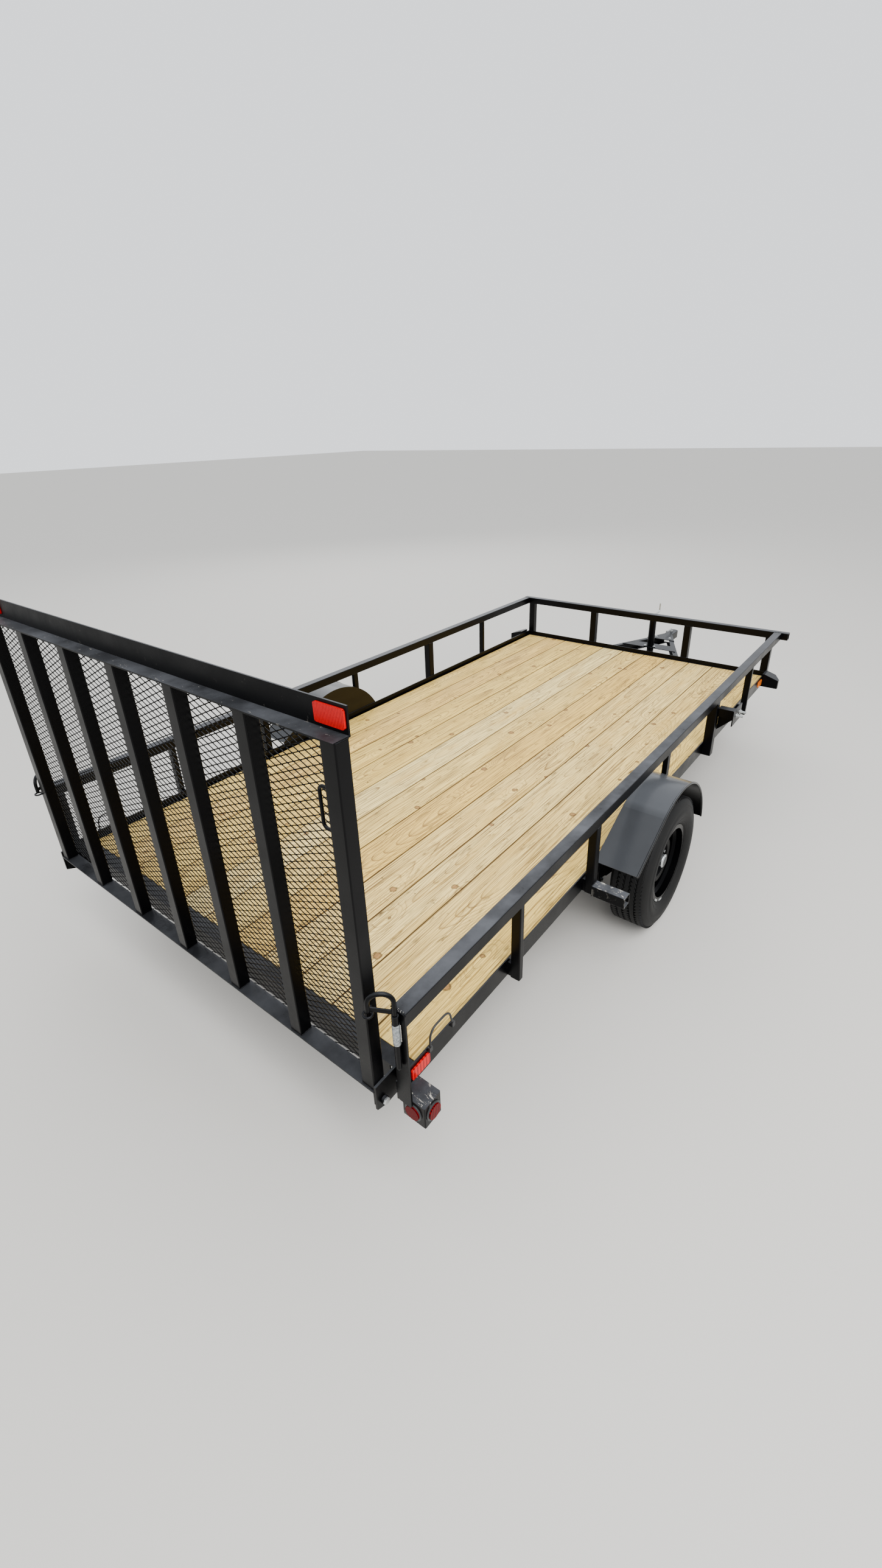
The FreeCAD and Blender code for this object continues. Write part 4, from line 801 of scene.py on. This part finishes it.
def make_deck_screws():
    """Two screws where each board crosses each crossmember, a little out of line as a hand drives them."""
    low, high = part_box("deck_boards")
    screw = stacked("screw", [(10, [(4.3, -1.0), (4.3, 0.15), (3.2, 0.4), (1.6, -0.3)])])
    spots = []
    draw = random.Random(11)
    for beam_low, beam_high in solids_of("crossmembers"):
        for i in range(PLANK_COUNT):
            for side in (DECK_SCREW_INSET, PLANK_PITCH - PLANK_GAP - DECK_SCREW_INSET):
                x = (beam_low.x + beam_high.x) / 2 + draw.uniform(-9, 9) * MM
                y = low.y + i * PLANK_PITCH + side + draw.uniform(-5, 5) * MM
                spots.append(((x, y, high.z - 0.3 * MM), (0, 0, 1)))
    scattered("deck_screws", screw, spots, SCREW_STEEL, "chassis", "zinc")


def make_fasteners():
    """Hex bolts and nuts: gate hinges, jack flange, spring clamps, coupler, spare carrier."""
    bolt = stacked("bolt", [(6, [(9.4, 1.6), (9.4, 7.6), (8.0, 8.8)]), (24, [(12.0, 0), (12.0, 1.6), (11.4, 2.0)])])
    spots = []
    jack_low, jack_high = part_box("jack_leg")
    jack_x = (jack_low.x + jack_high.x) / 2
    flange_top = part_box("tongue")[1].z + 5 * MM
    for k in range(3):
        turn = 2 * math.pi * k / 3
        spots.append(((jack_x + JACK_BOLT_CIRCLE * math.cos(turn), JACK_BOLT_CIRCLE * math.sin(turn), flange_top),
                      (0, 0, 1)))
    coupler_low, coupler_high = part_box("coupler")
    for y in (-1, 1):
        spots.append(((coupler_low.x + 55 * MM, y * 62 * MM, coupler_high.z - 1 * MM), (0, 0, 1)))
    scattered("frame_bolts", bolt, spots, ZINC, "chassis", "zinc")
    ear_low, ear_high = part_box("gate_bottom")
    hinge = next(j for j in frame["record"]["behaviour"]["joints"] if j["name"] == "gate_hinge")["pos_m"]
    pins = [((hinge[0], side, hinge[2]), (0, way, 0)) for side, way in ((ear_high.y, 1), (ear_low.y, -1))]
    big = stacked("pin_head", [(6, [(12.4, 0), (12.4, 5), (10.6, 6.4)])])
    scattered("hinge_bolt_heads", big, pins, ZINC, "gate", "zinc")
    nut = stacked("nut", [(6, [(9.0, 0), (9.0, 9), (7.6, 10)]), (12, [(5.2, 0), (5.2, 15), (4.4, 16)])])
    clamps = []
    axle_x = (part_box("axle")[0].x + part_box("axle")[1].x) / 2
    for pack_low, pack_high in solids_of("springs"):
        middle = (pack_low.y + pack_high.y) / 2
        for dx in (-CLAMP_SPREAD[0], CLAMP_SPREAD[0]):
            for dy in (-CLAMP_SPREAD[1], CLAMP_SPREAD[1]):
                clamps.append(((axle_x + dx, middle + dy, pack_low.z + 13 * MM), (0, 0, -1)))
    scattered("spring_clamp_nuts", nut, clamps, ZINC, "chassis", "zinc")
    low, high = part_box("spare_carrier")
    stud = stacked("stud", [(18, thread(6.85, 34.6, 1.5)), (6, [(11.0, -0.2), (11.0, 9.5), (9.4, 10.8)]),
                            (24, [(15.0, -0.2), (15.0, 1.8), (14.4, 2.2)])])
    middle = (low.x + high.x) / 2 + 20 * MM
    face = low.y + STUD_LENGTH
    studs = [((middle + dx, face, high.z - 46 * MM), (0, -1, 0)) for dx in (-STUD_SPREAD, STUD_SPREAD)]
    scattered("spare_studs", stud, studs, ZINC, "chassis", "zinc")


def make_latch_sleeves():
    """The galvanised sleeve on each latch's rod."""
    sleeve = stacked("sleeve", [(32, [(11.0, 0.4), (11.35, 1.2), (11.35, 77.8), (11.0, 78.6)])])
    low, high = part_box("latches")
    axis_x = high.x - LATCH_INSET
    foot = low.z + SLEEVE_FOOT
    spots = [((axis_x, way * (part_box("latches")[1].y - LATCH_INSET), foot), (0, 0, 1)) for way in (-1, 1)]
    scattered("latch_sleeves", sleeve, spots, GALVANISED, "chassis", "latch_steel")


def make_welds():
    """Weld beads where tubes meet, and spatter beside the ones done last."""
    seams = []
    for low, high in solids_of("rail_posts") + solids_of("rail_posts_front"):
        # the rear corner upright is an angle: its weld runs across the top of its rear leg
        if high.x - low.x > 50 * MM and high.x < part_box("rail_posts")[0].x + 60 * MM:
            inner, outer = sorted((low.y, high.y), key=abs)
            seams.append(((low.x + 3 * MM, inner, high.z), (low.x + 3 * MM, outer, high.z)))
            continue
        for x in (low.x, high.x):
            seams.append(((x, low.y + WELD_INSET, high.z), (x, high.y - WELD_INSET, high.z)))
    front_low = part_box("rail_front")[0]
    for name in ("rail_left", "rail_right"):
        low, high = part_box(name)
        for z in (low.z, high.z):
            seams.append(((front_low.x, low.y + 3 * MM, z), (front_low.x, high.y - 3 * MM, z)))
    for low, high in solids_of("fender_steps"):
        inner = low.y if low.y > 0 else high.y
        for z in (low.z, high.z):
            seams.append(((low.x + 3 * MM, inner, z), (high.x - 3 * MM, inner, z)))
    welded("frame_welds", seams, FRAME_PAINT, "chassis", "black_paint")
    gate_seams = []
    for low, high in solids_of("gate_posts"):
        for z in (low.z, high.z):
            gate_seams.append(((low.x, low.y + WELD_INSET, z), (low.x, high.y - WELD_INSET, z)))
            for y in (low.y, high.y):
                gate_seams.append(((low.x + WELD_INSET, y, z), (high.x - WELD_INSET, y, z)))
    welded("gate_welds", gate_seams, FRAME_PAINT, "gate", "black_paint")
    latch_seams = []
    low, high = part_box("latches")
    for way in (-1, 1):
        for off in (-9.5, 9.5):
            y = way * (high.y - LATCH_INSET) + off * MM
            latch_seams.append(((high.x - 3 * MM, y, low.z + 112 * MM), (high.x - 3 * MM, y, low.z + 172 * MM)))
    welded("latch_welds", latch_seams, FRESH_WELD, "chassis", "latch_steel", 2.0 * MM)
    drop = stacked("drop", [(7, [(1.0, -0.2), (1.0, 0.3), (0.5, 0.8)])])
    draw = random.Random(23)
    spots = []
    for name in ("rail_left", "rail_right"):
        low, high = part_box(name)
        for _ in range(RAIL_SPATTER):
            x = low.x - 5 * MM + abs(draw.gauss(0, 5)) * MM
            spots.append(((x, draw.uniform(low.y + 6 * MM, high.y - 6 * MM), high.z), (0, 0, 1)))
    scattered("weld_spatter", drop, spots, FRESH_WELD, "chassis", "latch_steel")
    low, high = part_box("gate_top")
    spots = []
    for _ in range(GATE_SPATTER):
        spots.append(((high.x, low.y + abs(draw.gauss(30, 20)) * MM, low.z + draw.uniform(10, 60) * MM), (1, 0, 0)))
        spots.append(((low.x + draw.uniform(4, 40) * MM, low.y + abs(draw.gauss(30, 20)) * MM, low.z), (0, 0, -1)))
    scattered("gate_spatter", drop, spots, FRESH_WELD, "gate", "latch_steel")


make_planks()
make_gate_screen()
for side_name, side_way in (("left", 1), ("right", -1)):
    make_tyre(side_name)
    make_wheel_fittings(side_name, side_way)
make_deck_screws()
make_fasteners()
make_latch_sleeves()
make_welds()
for template in TEMPLATES:
    bpy.data.objects.remove(template)


# Camera, light and floor

def make_view():
    """The camera, at the place and turn that the picture was solved for."""
    heading, down, roll = (math.radians(a) for a in (HEADING_LEFT, LOOK_DOWN, ROLL))
    ahead = Vector((math.cos(heading), math.sin(heading), 0.0))
    right = Vector((math.sin(heading), -math.cos(heading), 0.0))
    up = Vector((0.0, 0.0, 1.0))
    look = ahead * math.cos(down) - up * math.sin(down)
    top = ahead * math.sin(down) + up * math.cos(down)
    side = right * math.cos(roll) + top * math.sin(roll)
    top = top * math.cos(roll) - right * math.sin(roll)
    camera = bpy.data.cameras.new("camera")
    camera.sensor_fit = "VERTICAL"
    camera.sensor_height = SENSOR_HEIGHT
    camera.lens = FOCAL_OVER_HEIGHT * SENSOR_HEIGHT
    camera.shift_x, camera.shift_y = SHIFT
    camera.clip_start, camera.clip_end = CLIP
    eye = new_object("camera", camera)
    turn = Matrix((side, top, -look)).transposed().to_4x4()
    eye.matrix_world = Matrix.Translation(CAMERA_PLACE) @ turn
    bpy.context.scene.camera = eye


def make_studio():
    """A plain pale floor under an even sky and two large soft lamps."""
    floor_mesh = bpy.data.meshes.new("floor")
    corners = [(x * FLOOR_REACH, y * FLOOR_REACH, 0) for x, y in ((-1, -1), (1, -1), (1, 1), (-1, 1))]
    floor_mesh.from_pydata(corners, [], [(0, 1, 2, 3)])
    floor = new_object("floor", floor_mesh)
    material, _, shader, _ = blank_material("pale_floor")
    shader.inputs["Base Color"].default_value = linear("#c4c1bb")
    shader.inputs["Roughness"].default_value = 0.9
    floor_mesh.materials.append(material)
    world = bpy.data.worlds.new("overcast")
    world.use_nodes = True
    sky = world.node_tree.nodes["Background"]
    sky.inputs["Color"].default_value = linear("#eef1f5")
    sky.inputs["Strength"].default_value = SKY_STRENGTH
    bpy.context.scene.world = world
    for name, place, size, power in LAMPS:
        light = bpy.data.lights.new(name, "AREA")
        light.size = size
        light.energy = power
        lamp = new_object(name, light)
        lamp.location = place
        lamp.rotation_euler = (Vector((0, 0, 0.5)) - Vector(place)).to_track_quat("-Z", "Y").to_euler()


make_view()
make_studio()
